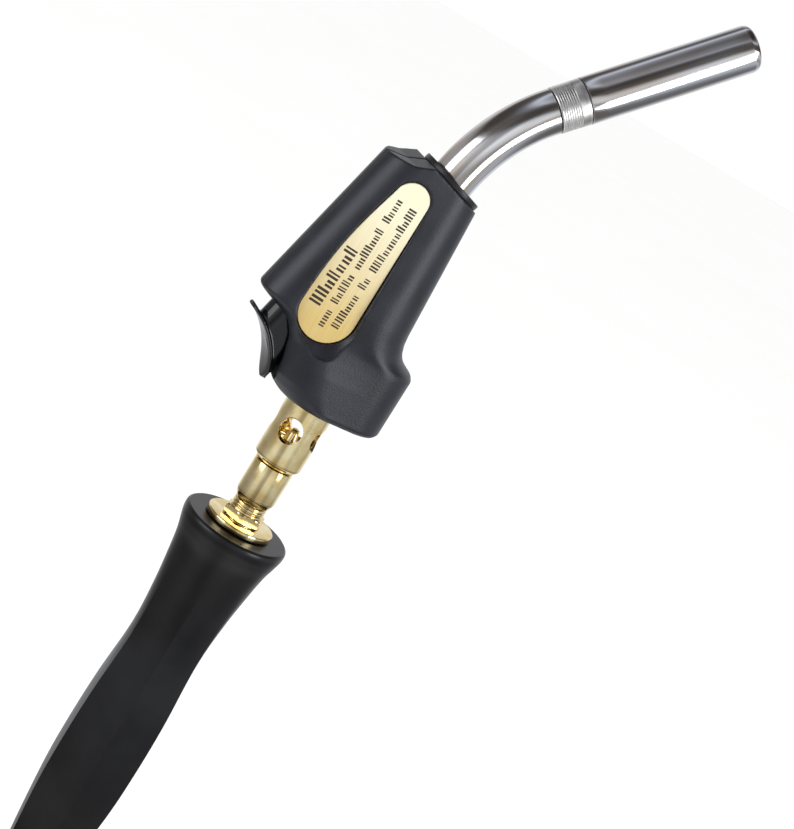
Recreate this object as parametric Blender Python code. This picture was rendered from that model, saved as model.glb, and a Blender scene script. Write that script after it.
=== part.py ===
"""Hand-held propane torch with a push-trigger piezo lighter, modelled in metres with +Z up.

The torch stands along its grip. The origin is the middle of the grip on its axis, +Z runs
towards the burner, +X is the side the burn tube bends to and -Y is the side with the label.
Upwards from the grip come the outlet fitting, the swivel connector, the mixer with its four
air holes, the burn tube, the union and the burner barrel. Two plastic shells round the foot
of the burn tube hold the lighter. Below the grip come the valve and the hose inlet.
"""

import math

import bmesh
import bpy
from mathutils import Matrix, Vector

# Clearances. GAP parts two pieces that touch, RUN parts two that slide or turn on each other.
GAP = 0.0003
RUN = 0.0004

# Grip
GRIP_LENGTH = 0.124
GRIP_TOP = GRIP_LENGTH / 2
GRIP_FLARE_R = 0.0161
GRIP_NECK_R = 0.0134
GRIP_WAIST_R = 0.0112
GRIP_PALM_R = 0.0122
GRIP_TAIL_R = 0.0094
GRIP_CREASE = math.radians(-107)

# Gas way through the grip
GAS_TUBE_R = 0.0040
GAS_TUBE_BORE = 0.0030
SPIGOT_R = 0.0047
SPIGOT_LENGTH = 0.0165
TAIL_LENGTH = 0.0060
TAIL_BORE = 0.0015
WASHER_R = 0.0103
WASHER_THICK = 0.0018
OUTLET_FLATS = 0.0110
OUTLET_HEX = 0.0027
OUTLET_NECK_R = 0.00505
OUTLET_NECK = 0.0029
RING_GROOVE = 0.0003

# Swivel connector, a plug that snaps into the outlet fitting
PLUG_R = 0.0035
PLUG_LENGTH = 0.0155
PLUG_BORE = 0.0013
ORING_R = 0.0005
ORING_DEPTH = 0.0100
SNAP_R = 0.0004
SNAP_DEPTH = 0.0022
SNAP_GAP_ANGLE = math.radians(50)
CONNECTOR_R = 0.00595
CONNECTOR_LENGTH = 0.0126
CONNECTOR_TAPER = 0.0020
STUD_R = 0.0045
STUD_LENGTH = 0.0068

# Jet and mixer
JET_FLATS = 0.0050
JET_TIP_R = 0.0016
JET_LENGTH = 0.0088
JET_HOLE_R = 0.00035
JET_FUNNEL = 0.0022
FILTER_LENGTH = 0.0030
MIXER_R = 0.00715
MIXER_CHAMFER = 0.0014
MIXER_CHAMBER_R = 0.0056
MIXER_CHAMBER = 0.0105
THROAT_R = 0.0032
THROAT_RISE = 0.0060
THROAT_LENGTH = 0.0030
AIR_HOLE_R = 0.0035
AIR_HOLE_HEIGHT = 0.0122
AIR_HOLE_COUNT = 4
AIR_HOLE_TURN = math.radians(-125)
SOCKET_WALL = 0.0017
SOCKET_LENGTH = 0.0120

# Burn tube and burner
TUBE_R = 0.00635
TUBE_WALL = 0.0009
BEND_RADIUS = 0.054
BEND_ANGLE = math.radians(44.5)
BEND_ABOVE_HOUSING = 0.0650
BARREL_R = 0.00665
BARREL_WALL = 0.0010
BARREL_LENGTH = 0.0498
BARREL_EDGE = 0.0008
UNION_R = 0.00655
UNION_LENGTH = 0.0085
UNION_TAIL = 0.0025
UNION_SPIGOT = 0.0050
UNION_WALL = 0.0012
UNION_RIBS = 4
SWIRLER_LENGTH = 0.0040
SWIRLER_DEPTH = 0.0085
SWIRLER_HOLE_R = 0.0011
SWIRLER_HOLES = 6
SWIRLER_HOLE_CIRCLE = 0.0036

# Spark parts
ELECTRODE_R = 0.0006
ELECTRODE_STAND_OUT = 0.0030
ELECTRODE_ELBOW = 0.0025
INSULATOR_R = 0.0020
INSULATOR_LENGTH = 0.0080
INSULATOR_HEIGHT = 0.0600
TIP_INSULATOR_R = 0.0017
LEAD_R = 0.0010
LEAD_ARCH = 0.0022
STRAP_THICK = 0.0005
STRAP_WIDTH = 0.0020

# Housing
HOUSING_ABOVE_MIXER = 0.0208
HOUSING_FLOOR = 0.0020
HOUSING_RIB = 0.0016
HOUSING_SPLIT = 0.0003
SKIRT_LEFT_R = 0.0133
SKIRT_RIGHT_R = 0.0128
SKIRT_RIGHT_X = 0.0082
SHOULDER_R = 0.0106
SHOULDER_HEIGHT = 0.0685
BULGE_R = 0.0090
BULGE_FOOT = Vector((-0.0224, 0.0, 0.0270))
BULGE_TILT = math.radians(13.6)
PEAK_X = -0.0092
PEAK_HEIGHT = 0.0749
ROOF_TILT = math.radians(17.5)
CAVITY_R = 0.0080
CAVITY_TOP = 0.0640
PIEZO_CAVITY_R = 0.0062
PIEZO_CAVITY_TOP = 0.0410
WIRING_HALF = 0.0056
WIRING_DROP = 0.0035
SCREW_R = 0.0013
SCREW_HEAD_R = 0.0024
SCREW_HEAD = 0.0016
SCREW_LENGTH = 0.0130

# Collar
COLLAR_R = 0.0099
COLLAR_THICK = 0.0011
COLLAR_CLEARANCE = 0.0008

# Label plate, a drop shape: two round ends joined by a straight side and a bowed side
LABEL_TURN = math.radians(10)
LABEL_FACE = 0.0110
LABEL_THICK = 0.0006
LABEL_LOW = Vector((-0.0123, 0.0267))
LABEL_LOW_R = 0.0083
LABEL_HIGH = Vector((-0.0089, 0.0643))
LABEL_HIGH_R = 0.0050
LABEL_BOW = 0.0015
RECESS_SLIDE = Vector((0.0019, -0.0034))
RECESS_RISE = 0.0022

# Trigger, placed from the bulge's foot: across and along the bulge's axis
TRAVEL = 0.0038
BLOCK_NEAR = 0.0020
BLOCK_FAR = 0.0070
BLOCK_R = 0.0046
BLOCK_TOP = 0.0040
SLOT_CLEARANCE = 0.0006
SLOT_EXTRA = 0.0018
PAD_TIP = Vector((-0.0068, -0.0110))
PAD_END = Vector((0.0102, -0.0246))
PAD_SAG = 0.0026
PAD_THICK = 0.0012
PAD_HALF_WIDTH = 0.0055
PLUNGER_R = 0.0026
PLUNGER_LENGTH = 0.0165
PIEZO_R = 0.0058
PIEZO_START = 0.0115
PIEZO_LENGTH = 0.0190
PIEZO_END_WALL = 0.0020
SPRING_WIRE = 0.0002
SPRING_TURNS = 3

# Valve and inlet
END_RING_R = 0.0098
END_RING = 0.0030
VALVE_FLATS = 0.0150
VALVE_LENGTH = 0.0220
VALVE_AXIS_DROP = 0.0115
BOSS_R = 0.0052
BOSS_REACH = 0.0125
CHAMBER_R = 0.0032
SEAT_X = 0.0020
SEAT_R = 0.0012
SEAT_DRILL_X = 0.0036
NUT_FLATS = 0.0120
NUT_LENGTH = 0.0050
STEM_R = 0.0020
STEM_LIFT = 0.0015
THREAD_R = 0.0029
NEEDLE_LENGTH = 0.0020
KNOB_R = 0.0125
KNOB_LENGTH = 0.0120
KNOB_LOBES = 8
KNOB_LOBE_DEPTH = 0.0009
KNOB_STAND_OFF = 0.0008
KNOB_SCREW_R = 0.0009
KNOB_SCREW_HEAD_R = 0.0019
NIPPLE_FLATS = 0.0170
NIPPLE_HEX = 0.0060
NIPPLE_THREAD_R = 0.0071
NIPPLE_THREAD = 0.0110
NIPPLE_STUD_R = 0.0050
NIPPLE_STUD = 0.0050
NIPPLE_BORE = 0.0024
SEAL_THICK = 0.0010

# Facets round a visible and a hidden turned piece
STEPS = 26
FEW = 14

# Heights up the main axis, each from the piece below it
GRIP_FOOT = GRIP_TOP - GRIP_LENGTH
WASHER_TOP = GRIP_TOP + GAP + WASHER_THICK
OUTLET_FOOT = WASHER_TOP + GAP
OUTLET_TOP = OUTLET_FOOT + OUTLET_HEX + OUTLET_NECK
CONNECTOR_FOOT = OUTLET_TOP + GAP
CONNECTOR_TOP = CONNECTOR_FOOT + CONNECTOR_LENGTH
MIXER_FOOT = CONNECTOR_TOP + GAP
HOUSING_FOOT = MIXER_FOOT + HOUSING_ABOVE_MIXER
SOCKET_FOOT = HOUSING_FOOT + HOUSING_FLOOR + GAP
TUBE_FOOT = SOCKET_FOOT + 0.0040
SOCKET_TOP = TUBE_FOOT + SOCKET_LENGTH
BEND_FOOT = HOUSING_FOOT + BEND_ABOVE_HOUSING
SPIGOT_FOOT = OUTLET_FOOT - SPIGOT_LENGTH
VALVE_TOP = GRIP_FOOT - END_RING - 2 * GAP
VALVE_FOOT = VALVE_TOP - VALVE_LENGTH
VALVE_AXIS = VALVE_TOP - VALVE_AXIS_DROP
INSULATOR_Z = HOUSING_FOOT + INSULATOR_HEIGHT
TRIGGER_ROOF = BULGE_FOOT.z + (BLOCK_TOP + TRAVEL) * math.cos(BULGE_TILT)

# Radii that follow from the pieces they hold
SOCKET_BORE = PLUG_R + GAP
PLUG_GROOVE = PLUG_R - 2 * ORING_R - GAP
MIXER_SOCKET_R = TUBE_R + GAP + SOCKET_WALL
TUBE_BORE = TUBE_R - TUBE_WALL
BARREL_BORE = BARREL_R - BARREL_WALL


def tilted(origin, angle):
    """A frame at origin whose Z leans from +Z towards +X by the angle, with Y unchanged."""
    return Matrix.Translation(origin) @ Matrix.Rotation(angle, 4, "Y")


BEND_END = Vector((BEND_RADIUS * (1 - math.cos(BEND_ANGLE)), 0.0,
                   BEND_FOOT + BEND_RADIUS * math.sin(BEND_ANGLE)))
BARREL = tilted(BEND_END, BEND_ANGLE)
PIEZO = tilted(BULGE_FOOT + Vector((0, 0, HOUSING_FOOT)), BULGE_TILT)
VALVE = tilted(Vector((0, 0, VALVE_AXIS)), -math.pi / 2)
LABEL = Matrix.Rotation(-LABEL_TURN, 4, "Z") @ Matrix.Rotation(math.pi / 2, 4, "X")
LABEL = Matrix.Translation((0, 0, HOUSING_FOOT)) @ LABEL


# ---------------------------------------------------------------- materials

def material(name, colour, roughness, metallic=0.0):
    """A Principled material from a linear colour."""
    made = bpy.data.materials.new(name)
    made.use_nodes = True
    shader = made.node_tree.nodes["Principled BSDF"]
    shader.inputs["Base Color"].default_value = (*colour, 1.0)
    shader.inputs["Roughness"].default_value = roughness
    shader.inputs["Metallic"].default_value = metallic
    made.diffuse_color = (*colour, 1.0)
    return made


def make_materials():
    """Every material of the torch by name."""
    return {
        "grip_plastic": material("grip_plastic", (0.012, 0.012, 0.013), 0.32),
        "housing_plastic": material("housing_plastic", (0.022, 0.023, 0.030), 0.45),
        "trigger_plastic": material("trigger_plastic", (0.010, 0.010, 0.012), 0.2),
        "brass": material("brass", (0.78, 0.57, 0.23), 0.22, 1.0),
        "steel": material("steel", (0.62, 0.62, 0.64), 0.12, 1.0),
        "brushed_steel": material("brushed_steel", (0.55, 0.54, 0.53), 0.4, 1.0),
        "zinc_steel": material("zinc_steel", (0.5, 0.5, 0.52), 0.3, 1.0),
        "gold_plate": material("gold_plate", (0.80, 0.62, 0.28), 0.28, 1.0),
        "rubber": material("rubber", (0.01, 0.01, 0.01), 0.7),
        "ceramic": material("ceramic", (0.85, 0.83, 0.78), 0.35),
        "piezo_plastic": material("piezo_plastic", (0.10, 0.11, 0.12), 0.5),
        "lead_red": material("lead_red", (0.35, 0.02, 0.015), 0.45),
        "bronze": material("bronze", (0.45, 0.27, 0.12), 0.8, 1.0),
        "fibre": material("fibre", (0.30, 0.06, 0.04), 0.8),
    }


# ---------------------------------------------------------------- shapes

def finish(bm, name, look, frame=None, hidden=False):
    """Turns a bmesh into a linked, smooth-shaded object standing in the given frame."""
    bmesh.ops.recalc_face_normals(bm, faces=bm.faces)
    mesh = bpy.data.meshes.new(name)
    bm.to_mesh(mesh)
    bm.free()
    mesh.shade_smooth()
    mesh.set_sharp_from_angle(angle=math.radians(38))
    obj = bpy.data.objects.new(name, mesh)
    bpy.context.scene.collection.objects.link(obj)
    if frame is not None:
        obj.matrix_world = frame
    if look is not None:
        mesh.materials.append(look)
    if hidden:
        obj.hide_render = True
        obj.display_type = "WIRE"
    return obj


def lofted(name, rings, look, frame=None, hidden=False, closed=False):
    """A skin through rings of points. The ends are capped, or joined when closed is set."""
    bm = bmesh.new()
    rows = [[bm.verts.new(point) for point in ring] for ring in rings]
    pairs = list(zip(rows, rows[1:]))
    if closed:
        pairs.append((rows[-1], rows[0]))
    for low, high in pairs:
        for side in range(len(low)):
            after = (side + 1) % len(low)
            bm.faces.new((low[side], low[after], high[after], high[side]))
    if not closed:
        bm.faces.new(rows[0])
        bm.faces.new(rows[-1])
    return finish(bm, name, look, frame, hidden)


def prism(name, outline, low, high, look, frame=None, hidden=False):
    """A flat outline pushed along its frame's Z from low to high."""
    rings = [[(x, y, height) for x, y in outline] for height in (low, high)]
    return lofted(name, rings, look, frame, hidden)


def flat_radius(apothem, angle, flats, amount):
    """Radius at an angle between a circle (amount 0) and a polygon with that many flats."""
    sector = 2 * math.pi / flats
    off_middle = (angle % sector) - sector / 2
    return apothem * ((1 - amount) + amount / math.cos(off_middle))


def turned(name, profile, look, frame=None, hidden=False, steps=FEW, turn=0.0, flats=6):
    """A closed outline of (radius, height) turned about Z.

    A third value in a point shapes its ring between a circle, 0, and a polygon, 1, whose
    corners start at the turn angle. A radius of 0 is a point on the axis.
    """
    bm = bmesh.new()
    rows = []
    for radius, height, *amount in profile:
        if radius == 0:
            rows.append([bm.verts.new((0, 0, height))] * steps)
            continue
        row = []
        for step in range(steps):
            angle = 2 * math.pi * step / steps
            reach = flat_radius(radius, angle, flats, amount[0] if amount else 0.0)
            across = Vector((reach * math.cos(angle + turn), reach * math.sin(angle + turn)))
            row.append(bm.verts.new((across.x, across.y, height)))
        rows.append(row)
    for low, high in zip(rows, rows[1:] + rows[:1]):
        if low[0] is low[1] and high[0] is high[1]:
            continue
        for step in range(steps):
            after = (step + 1) % steps
            corners = dict.fromkeys((low[step], low[after], high[after], high[step]))
            bm.faces.new(tuple(corners))
    return finish(bm, name, look, frame, hidden)


def rod(name, points, radius, look, sides=2):
    """A round wire through points, with flat ends."""
    curve = bpy.data.curves.new(name, "CURVE")
    curve.dimensions = "3D"
    curve.bevel_depth = radius
    curve.bevel_resolution = sides
    curve.use_fill_caps = True
    spline = curve.splines.new("POLY")
    spline.points.add(len(points) - 1)
    for place, point in zip(spline.points, points):
        place.co = (*point, 1.0)
    curve.materials.append(look)
    obj = bpy.data.objects.new(name, curve)
    bpy.context.scene.collection.objects.link(obj)
    return obj


def change(obj, other, operation="DIFFERENCE"):
    """Adds a Boolean with another object."""
    modifier = obj.modifiers.new(operation.lower(), "BOOLEAN")
    modifier.operation = operation
    modifier.object = other
    return modifier


def set_origin(obj, place):
    """Moves an object's origin to a world point and leaves its shape where it is."""
    shift = obj.matrix_world.inverted() @ Vector(place)
    obj.data.transform(Matrix.Translation(-shift))
    obj.matrix_world = obj.matrix_world @ Matrix.Translation(shift)


def arc(centre, radius, start, stop, count):
    """Points along an arc, both ends included."""
    angles = [start + (stop - start) * step / (count - 1) for step in range(count)]
    return [(centre[0] + radius * math.cos(a), centre[1] + radius * math.sin(a)) for a in angles]


def two_circle_outline(left_x, left_r, right_x, right_r, count=13, bow_high=0.0):
    """Outline round two circles on the X axis, joined by their outer tangents.

    bow_high pushes the tangent on the +Y side outward at its middle, as a half sine.
    """
    lean = math.acos((left_r - right_r) / (right_x - left_x))
    right = arc((right_x, 0.0), right_r, -lean, lean, count)
    left = arc((left_x, 0.0), left_r, lean, 2 * math.pi - lean, count)
    steps = 4
    high_side = blend(right[-1], left[0], steps, bow_high, lean)
    low_side = blend(left[-1], right[0], steps, 0.0, -lean)
    return right + high_side + left + low_side


def blend(start, stop, steps, bow, normal):
    """Inner points of a side from start to stop, bowed outward along the normal's angle."""
    points = []
    for step in range(1, steps):
        share = step / steps
        out = bow * math.sin(math.pi * share)
        points.append((start[0] + (stop[0] - start[0]) * share + out * math.cos(normal),
                       start[1] + (stop[1] - start[1]) * share + out * math.sin(normal)))
    return points


def centreline(along):
    """The burner's centre point and lean at a distance from the foot of the bend."""
    length = BEND_RADIUS * BEND_ANGLE
    angle = min(max(along / BEND_RADIUS, 0.0), BEND_ANGLE)
    point = Vector((BEND_RADIUS * (1 - math.cos(angle)), 0.0,
                    BEND_FOOT + BEND_RADIUS * math.sin(angle)))
    rest = min(along, 0.0) + max(along - length, 0.0)
    return point + rest * Vector((math.sin(angle), 0.0, math.cos(angle))), angle


def circle_at(along, radius, steps):
    """A ring of points square to the burner's centreline."""
    place, angle = centreline(along)
    frame = tilted(place, angle)
    turns = [2 * math.pi * step / steps for step in range(steps)]
    return [frame @ Vector((radius * math.cos(a), radius * math.sin(a), 0.0)) for a in turns]


# ---------------------------------------------------------------- grip and gas way

def make_grip(looks):
    """Moulded grip: a trumpet-shaped top, a waist, a six-sided palm and a tapered tail."""
    depth = GRIP_TOP - GRIP_LENGTH
    spigot_bore = SPIGOT_R + GAP
    tube_bore = GAS_TUBE_R + GAP
    step_down = SPIGOT_FOOT - GAP
    profile = [
        (spigot_bore, GRIP_TOP),
        (GRIP_FLARE_R - 0.0007, GRIP_TOP),
        (GRIP_FLARE_R, GRIP_TOP - 0.0007),
        (GRIP_FLARE_R, GRIP_TOP - 0.0026),
        (GRIP_FLARE_R - 0.0006, GRIP_TOP - 0.0052),
        (GRIP_NECK_R + 0.0010, GRIP_TOP - 0.0095),
        (GRIP_NECK_R, GRIP_TOP - 0.0160),
        (GRIP_WAIST_R + 0.0008, GRIP_TOP - 0.0280, 0.2),
        (GRIP_WAIST_R, GRIP_TOP - 0.0420, 0.5),
        (GRIP_PALM_R - 0.0003, GRIP_TOP - 0.0620, 0.8),
        (GRIP_PALM_R, GRIP_TOP - 0.0800, 0.8),
        (GRIP_PALM_R - 0.0004, GRIP_TOP - 0.0960, 0.8),
        (GRIP_TAIL_R + 0.0009, depth + 0.0085, 0.7),
        (GRIP_TAIL_R, depth + 0.0010, 0.4),
        (GRIP_TAIL_R - 0.0008, depth, 0.3),
        (tube_bore, depth),
        (tube_bore, step_down),
        (spigot_bore, step_down),
    ]
    turned("grip", profile, looks["grip_plastic"], steps=STEPS, turn=GRIP_CREASE)
    ring_top = depth - GAP
    ring = [
        (tube_bore, ring_top),
        (END_RING_R - 0.0004, ring_top),
        (END_RING_R, ring_top - 0.0004),
        (END_RING_R, ring_top - END_RING + 0.0006),
        (END_RING_R - 0.0006, ring_top - END_RING),
        (tube_bore, ring_top - END_RING),
    ]
    turned("grip_end_ring", ring, looks["brass"], steps=STEPS)


def make_gas_tube(looks):
    """The brass tube from the valve up to the outlet fitting."""
    low = VALVE_TOP - 0.0040
    high = SPIGOT_FOOT - GAP
    profile = [(GAS_TUBE_BORE, high), (GAS_TUBE_R, high), (GAS_TUBE_R, low), (GAS_TUBE_BORE, low)]
    turned("grip_gas_tube", profile, looks["brass"])


def make_outlet(looks):
    """Flange washer and the hexagon fitting that holds the swivel plug."""
    bottom = GRIP_TOP + GAP
    bore = SPIGOT_R + GAP
    washer = [
        (bore, WASHER_TOP),
        (WASHER_R - 0.0003, WASHER_TOP),
        (WASHER_R, WASHER_TOP - 0.0003),
        (WASHER_R, bottom + 0.0006),
        (WASHER_R - 0.0006, bottom),
        (bore, bottom),
    ]
    turned("flange_washer", washer, looks["brass"], steps=STEPS)

    half = OUTLET_FLATS / 2
    hex_top = OUTLET_FOOT + OUTLET_HEX
    neck = OUTLET_NECK / 5
    groove = OUTLET_NECK_R - RING_GROOVE
    tail_r = GAS_TUBE_BORE - GAP
    socket_floor = CONNECTOR_FOOT - PLUG_LENGTH - RUN
    snap = CONNECTOR_FOOT - SNAP_DEPTH
    snap_half = SNAP_R + GAP
    snap_r = PLUG_R + SNAP_R + GAP
    profile = [
        (SOCKET_BORE, OUTLET_TOP),
        (OUTLET_NECK_R - 0.0002, OUTLET_TOP),
        (OUTLET_NECK_R, OUTLET_TOP - neck),
        (groove, OUTLET_TOP - 1.6 * neck),
        (OUTLET_NECK_R, OUTLET_TOP - 2.3 * neck),
        (OUTLET_NECK_R, OUTLET_TOP - 3 * neck),
        (groove, OUTLET_TOP - 3.6 * neck),
        (OUTLET_NECK_R, OUTLET_TOP - 4.2 * neck),
        (OUTLET_NECK_R, hex_top),
        (half, hex_top, 0.3),
        (half, hex_top - 0.0005, 1.0),
        (half, OUTLET_FOOT + 0.0003, 1.0),
        (half, OUTLET_FOOT, 0.5),
        (SPIGOT_R, OUTLET_FOOT),
        (SPIGOT_R, SPIGOT_FOOT),
        (tail_r, SPIGOT_FOOT),
        (tail_r, SPIGOT_FOOT - TAIL_LENGTH),
        (TAIL_BORE, SPIGOT_FOOT - TAIL_LENGTH),
        (TAIL_BORE, socket_floor),
        (SOCKET_BORE, socket_floor),
        (SOCKET_BORE, snap - snap_half),
        (snap_r, snap - snap_half),
        (snap_r, snap + snap_half),
        (SOCKET_BORE, snap + snap_half),
    ]
    turned("outlet_fitting", profile, looks["brass"])


def make_connector(looks):
    """Swivel connector with its O-ring, snap ring and gas filter."""
    foot = CONNECTOR_FOOT
    oring = foot - ORING_DEPTH
    oring_half = ORING_R + GAP
    snap = foot - SNAP_DEPTH
    snap_half = SNAP_R + GAP
    snap_groove = PLUG_R - SNAP_R - GAP
    stud_top = CONNECTOR_TOP + STUD_LENGTH
    plug_foot = foot - PLUG_LENGTH
    jet_socket = JET_FLATS / 2 + 0.0006
    jet_floor = stud_top - 0.0035
    filter_floor = jet_floor - FILTER_LENGTH - 2 * GAP
    filter_r = jet_socket - 0.0008
    profile = [
        (jet_socket, stud_top),
        (STUD_R, stud_top),
        (STUD_R, CONNECTOR_TOP),
        (CONNECTOR_R - 0.0003, CONNECTOR_TOP),
        (CONNECTOR_R, CONNECTOR_TOP - 0.0003),
        (CONNECTOR_R, foot + CONNECTOR_TAPER),
        (OUTLET_NECK_R, foot),
        (PLUG_R, foot),
        (PLUG_R, snap + snap_half),
        (snap_groove, snap + snap_half),
        (snap_groove, snap - snap_half),
        (PLUG_R, snap - snap_half),
        (PLUG_R, oring + oring_half),
        (PLUG_GROOVE, oring + oring_half),
        (PLUG_GROOVE, oring - oring_half),
        (PLUG_R, oring - oring_half),
        (PLUG_R, plug_foot + 0.0005),
        (PLUG_R - 0.0005, plug_foot),
        (PLUG_BORE, plug_foot),
        (PLUG_BORE, filter_floor),
        (filter_r, filter_floor),
        (filter_r, jet_floor),
        (jet_socket, jet_floor),
    ]
    turned("swivel_connector", profile, looks["brass"])

    strainer = [(0, jet_floor - GAP), (filter_r - GAP, jet_floor - GAP)]
    strainer += [(filter_r - GAP, filter_floor + GAP), (0, filter_floor + GAP)]
    turned("gas_filter", strainer, looks["bronze"], steps=12)

    ring_centre = PLUG_R - ORING_R
    section = arc((ring_centre, oring), ORING_R, 0, 2 * math.pi * 7 / 8, 8)
    turned("connector_o_ring", section, looks["rubber"])

    rings = []
    count = 20
    for step in range(count + 1):
        turn = SNAP_GAP_ANGLE / 2 + (2 * math.pi - SNAP_GAP_ANGLE) * step / count
        section = arc((PLUG_R, snap), SNAP_R, 0, 2 * math.pi * 7 / 8, 8)
        rings.append([(r * math.cos(turn), r * math.sin(turn), z) for r, z in section])
    lofted("connector_snap_ring", rings, looks["zinc_steel"])
    return stud_top, jet_floor, jet_socket


def make_mixer(looks, stud_top, jet_floor, jet_socket):
    """Gas jet and the mixer body with its air holes, throat and burn tube socket."""
    shank = jet_socket - GAP
    collar = jet_floor + 0.0035 + GAP
    tip = jet_floor + JET_LENGTH
    foot = jet_floor + GAP
    jet = [
        (JET_HOLE_R, tip),
        (JET_TIP_R * 0.6, tip),
        (JET_TIP_R, tip - 0.0012),
        (JET_FLATS / 2 - 0.0003, collar + 0.0012),
        (JET_FLATS / 2, collar + 0.0010, 1.0),
        (JET_FLATS / 2, collar, 1.0),
        (shank - 0.0002, collar),
        (shank - 0.0002, foot),
        (shank * 0.5, foot),
        (shank * 0.5, foot + JET_FUNNEL),
        (JET_HOLE_R, foot + JET_FUNNEL + 0.0004),
    ]
    turned("gas_jet", jet, looks["brass"])

    foot = MIXER_FOOT
    stud_bore = STUD_R + GAP
    chamber_foot = stud_top + GAP
    chamber_top = chamber_foot + MIXER_CHAMBER
    throat = chamber_top + THROAT_RISE
    profile = [
        (TUBE_R + GAP, SOCKET_TOP),
        (MIXER_SOCKET_R, SOCKET_TOP),
        (MIXER_SOCKET_R, SOCKET_FOOT + GAP),
        (MIXER_R, SOCKET_FOOT + GAP),
        (MIXER_R, foot + MIXER_CHAMFER),
        (MIXER_R - MIXER_CHAMFER, foot),
        (stud_bore, foot),
        (stud_bore, chamber_foot),
        (MIXER_CHAMBER_R, chamber_foot + 0.0006),
        (MIXER_CHAMBER_R, chamber_top),
        (THROAT_R, throat),
        (TUBE_BORE, throat + THROAT_LENGTH),
        (TUBE_BORE, TUBE_FOOT - GAP),
        (TUBE_R + GAP, TUBE_FOOT - GAP),
    ]
    mixer = turned("mixer_body", profile, looks["brass"], steps=STEPS)
    height = foot + AIR_HOLE_HEIGHT
    for index in range(AIR_HOLE_COUNT):
        turn = AIR_HOLE_TURN + 2 * math.pi * index / AIR_HOLE_COUNT
        frame = Matrix.Translation((0, 0, height)) @ Matrix.Rotation(turn, 4, "Z")
        frame = frame @ Matrix.Rotation(math.pi / 2, 4, "Y")
        reach = MIXER_R + 0.002
        sink = MIXER_R - 0.0010
        drill = [(0, reach), (AIR_HOLE_R + 0.0014, reach), (AIR_HOLE_R, sink),
                 (AIR_HOLE_R, JET_FLATS), (0, JET_FLATS)]
        cutter = turned(f"air_hole_cutter_{index + 1}", drill, None, frame, hidden=True, steps=12)
        change(mixer, cutter)


# ---------------------------------------------------------------- burner

def make_burn_tube(looks):
    """The bent tube, drilled on the lighter's side for the electrode insulator."""
    straight = BEND_FOOT - TUBE_FOOT
    bend = BEND_RADIUS * BEND_ANGLE
    stations = [-straight, -straight / 2, 0.0]
    stations += [bend * step / 9 for step in range(1, 10)]
    outer = [circle_at(along, TUBE_R, STEPS) for along in stations]
    inner = [circle_at(along, TUBE_BORE, STEPS) for along in reversed(stations)]
    tube = lofted("burn_tube", outer + inner, looks["steel"], closed=True)
    frame = tilted(Vector((0, 0, INSULATOR_Z)), -math.pi / 2)
    hole = INSULATOR_R + GAP
    drill = [(0, 0.010), (hole, 0.010), (hole, 0.002), (0, 0.002)]
    change(tube, turned("insulator_hole_cutter", drill, None, frame, hidden=True, steps=12))


def make_union(looks):
    """The ribbed union between the burn tube and the barrel, with a spigot into each."""
    foot = GAP
    top = foot + UNION_LENGTH
    spigot = TUBE_BORE - GAP
    upper = BARREL_BORE - GAP
    bore = spigot - UNION_WALL
    ribs = []
    pitch = 0.55 * UNION_LENGTH / UNION_RIBS
    for rib in range(UNION_RIBS):
        low = foot + 0.0006 + rib * pitch
        ribs += [(UNION_R, low), (UNION_R - 0.0002, low + pitch / 2)]
    ribs.append((UNION_R, foot + 0.0006 + UNION_RIBS * pitch))
    profile = [(bore, foot - UNION_TAIL), (spigot, foot - UNION_TAIL), (spigot, foot),
               (UNION_R - 0.0002, foot)]
    profile += ribs
    profile += [(UNION_R, top), (upper, top), (upper, top + UNION_SPIGOT),
                (bore, top + UNION_SPIGOT)]
    turned("burner_union", profile, looks["brushed_steel"], BARREL, steps=STEPS)
    return top


def make_barrel(looks, union_top):
    """Burner barrel with a rounded mouth, and the swirler that steadies the flame."""
    foot = union_top + GAP
    mouth = foot + BARREL_LENGTH
    edge = BARREL_EDGE
    profile = [
        (BARREL_BORE, foot),
        (BARREL_R - 0.0002, foot),
        (BARREL_R, foot + 0.0003),
        (BARREL_R, mouth - 2 * edge),
        (BARREL_R - edge * 0.3, mouth - edge * 0.7),
        (BARREL_R - edge * 0.9, mouth),
        (BARREL_BORE, mouth),
    ]
    turned("burner_barrel", profile, looks["steel"], BARREL, steps=STEPS)

    top = mouth - SWIRLER_DEPTH
    low = top - SWIRLER_LENGTH
    hub = TIP_INSULATOR_R + GAP
    rim = BARREL_BORE - GAP
    disc = [(hub, low), (hub, top), (rim, top), (rim, low)]
    swirler = turned("flame_swirler", disc, looks["brushed_steel"], BARREL)
    for index in range(SWIRLER_HOLES):
        turn = Matrix.Rotation(2 * math.pi * index / SWIRLER_HOLES, 4, "Z")
        slant = Matrix.Rotation(math.radians(18), 4, "X")
        place = Matrix.Translation((SWIRLER_HOLE_CIRCLE, 0, (low + top) / 2))
        reach = SWIRLER_LENGTH
        drill = [(0, reach), (SWIRLER_HOLE_R, reach), (SWIRLER_HOLE_R, -reach), (0, -reach)]
        name = f"swirler_hole_cutter_{index + 1}"
        change(swirler, turned(name, drill, None, BARREL @ turn @ place @ slant, True, steps=12))
    bore = ELECTRODE_R + GAP
    tip_r = TIP_INSULATOR_R
    bush = [(bore, low - 0.002), (bore, top + 0.001), (tip_r, top + 0.001), (tip_r, low - 0.002)]
    turned("tip_insulator", bush, looks["ceramic"], BARREL, steps=12)
    return mouth


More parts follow.
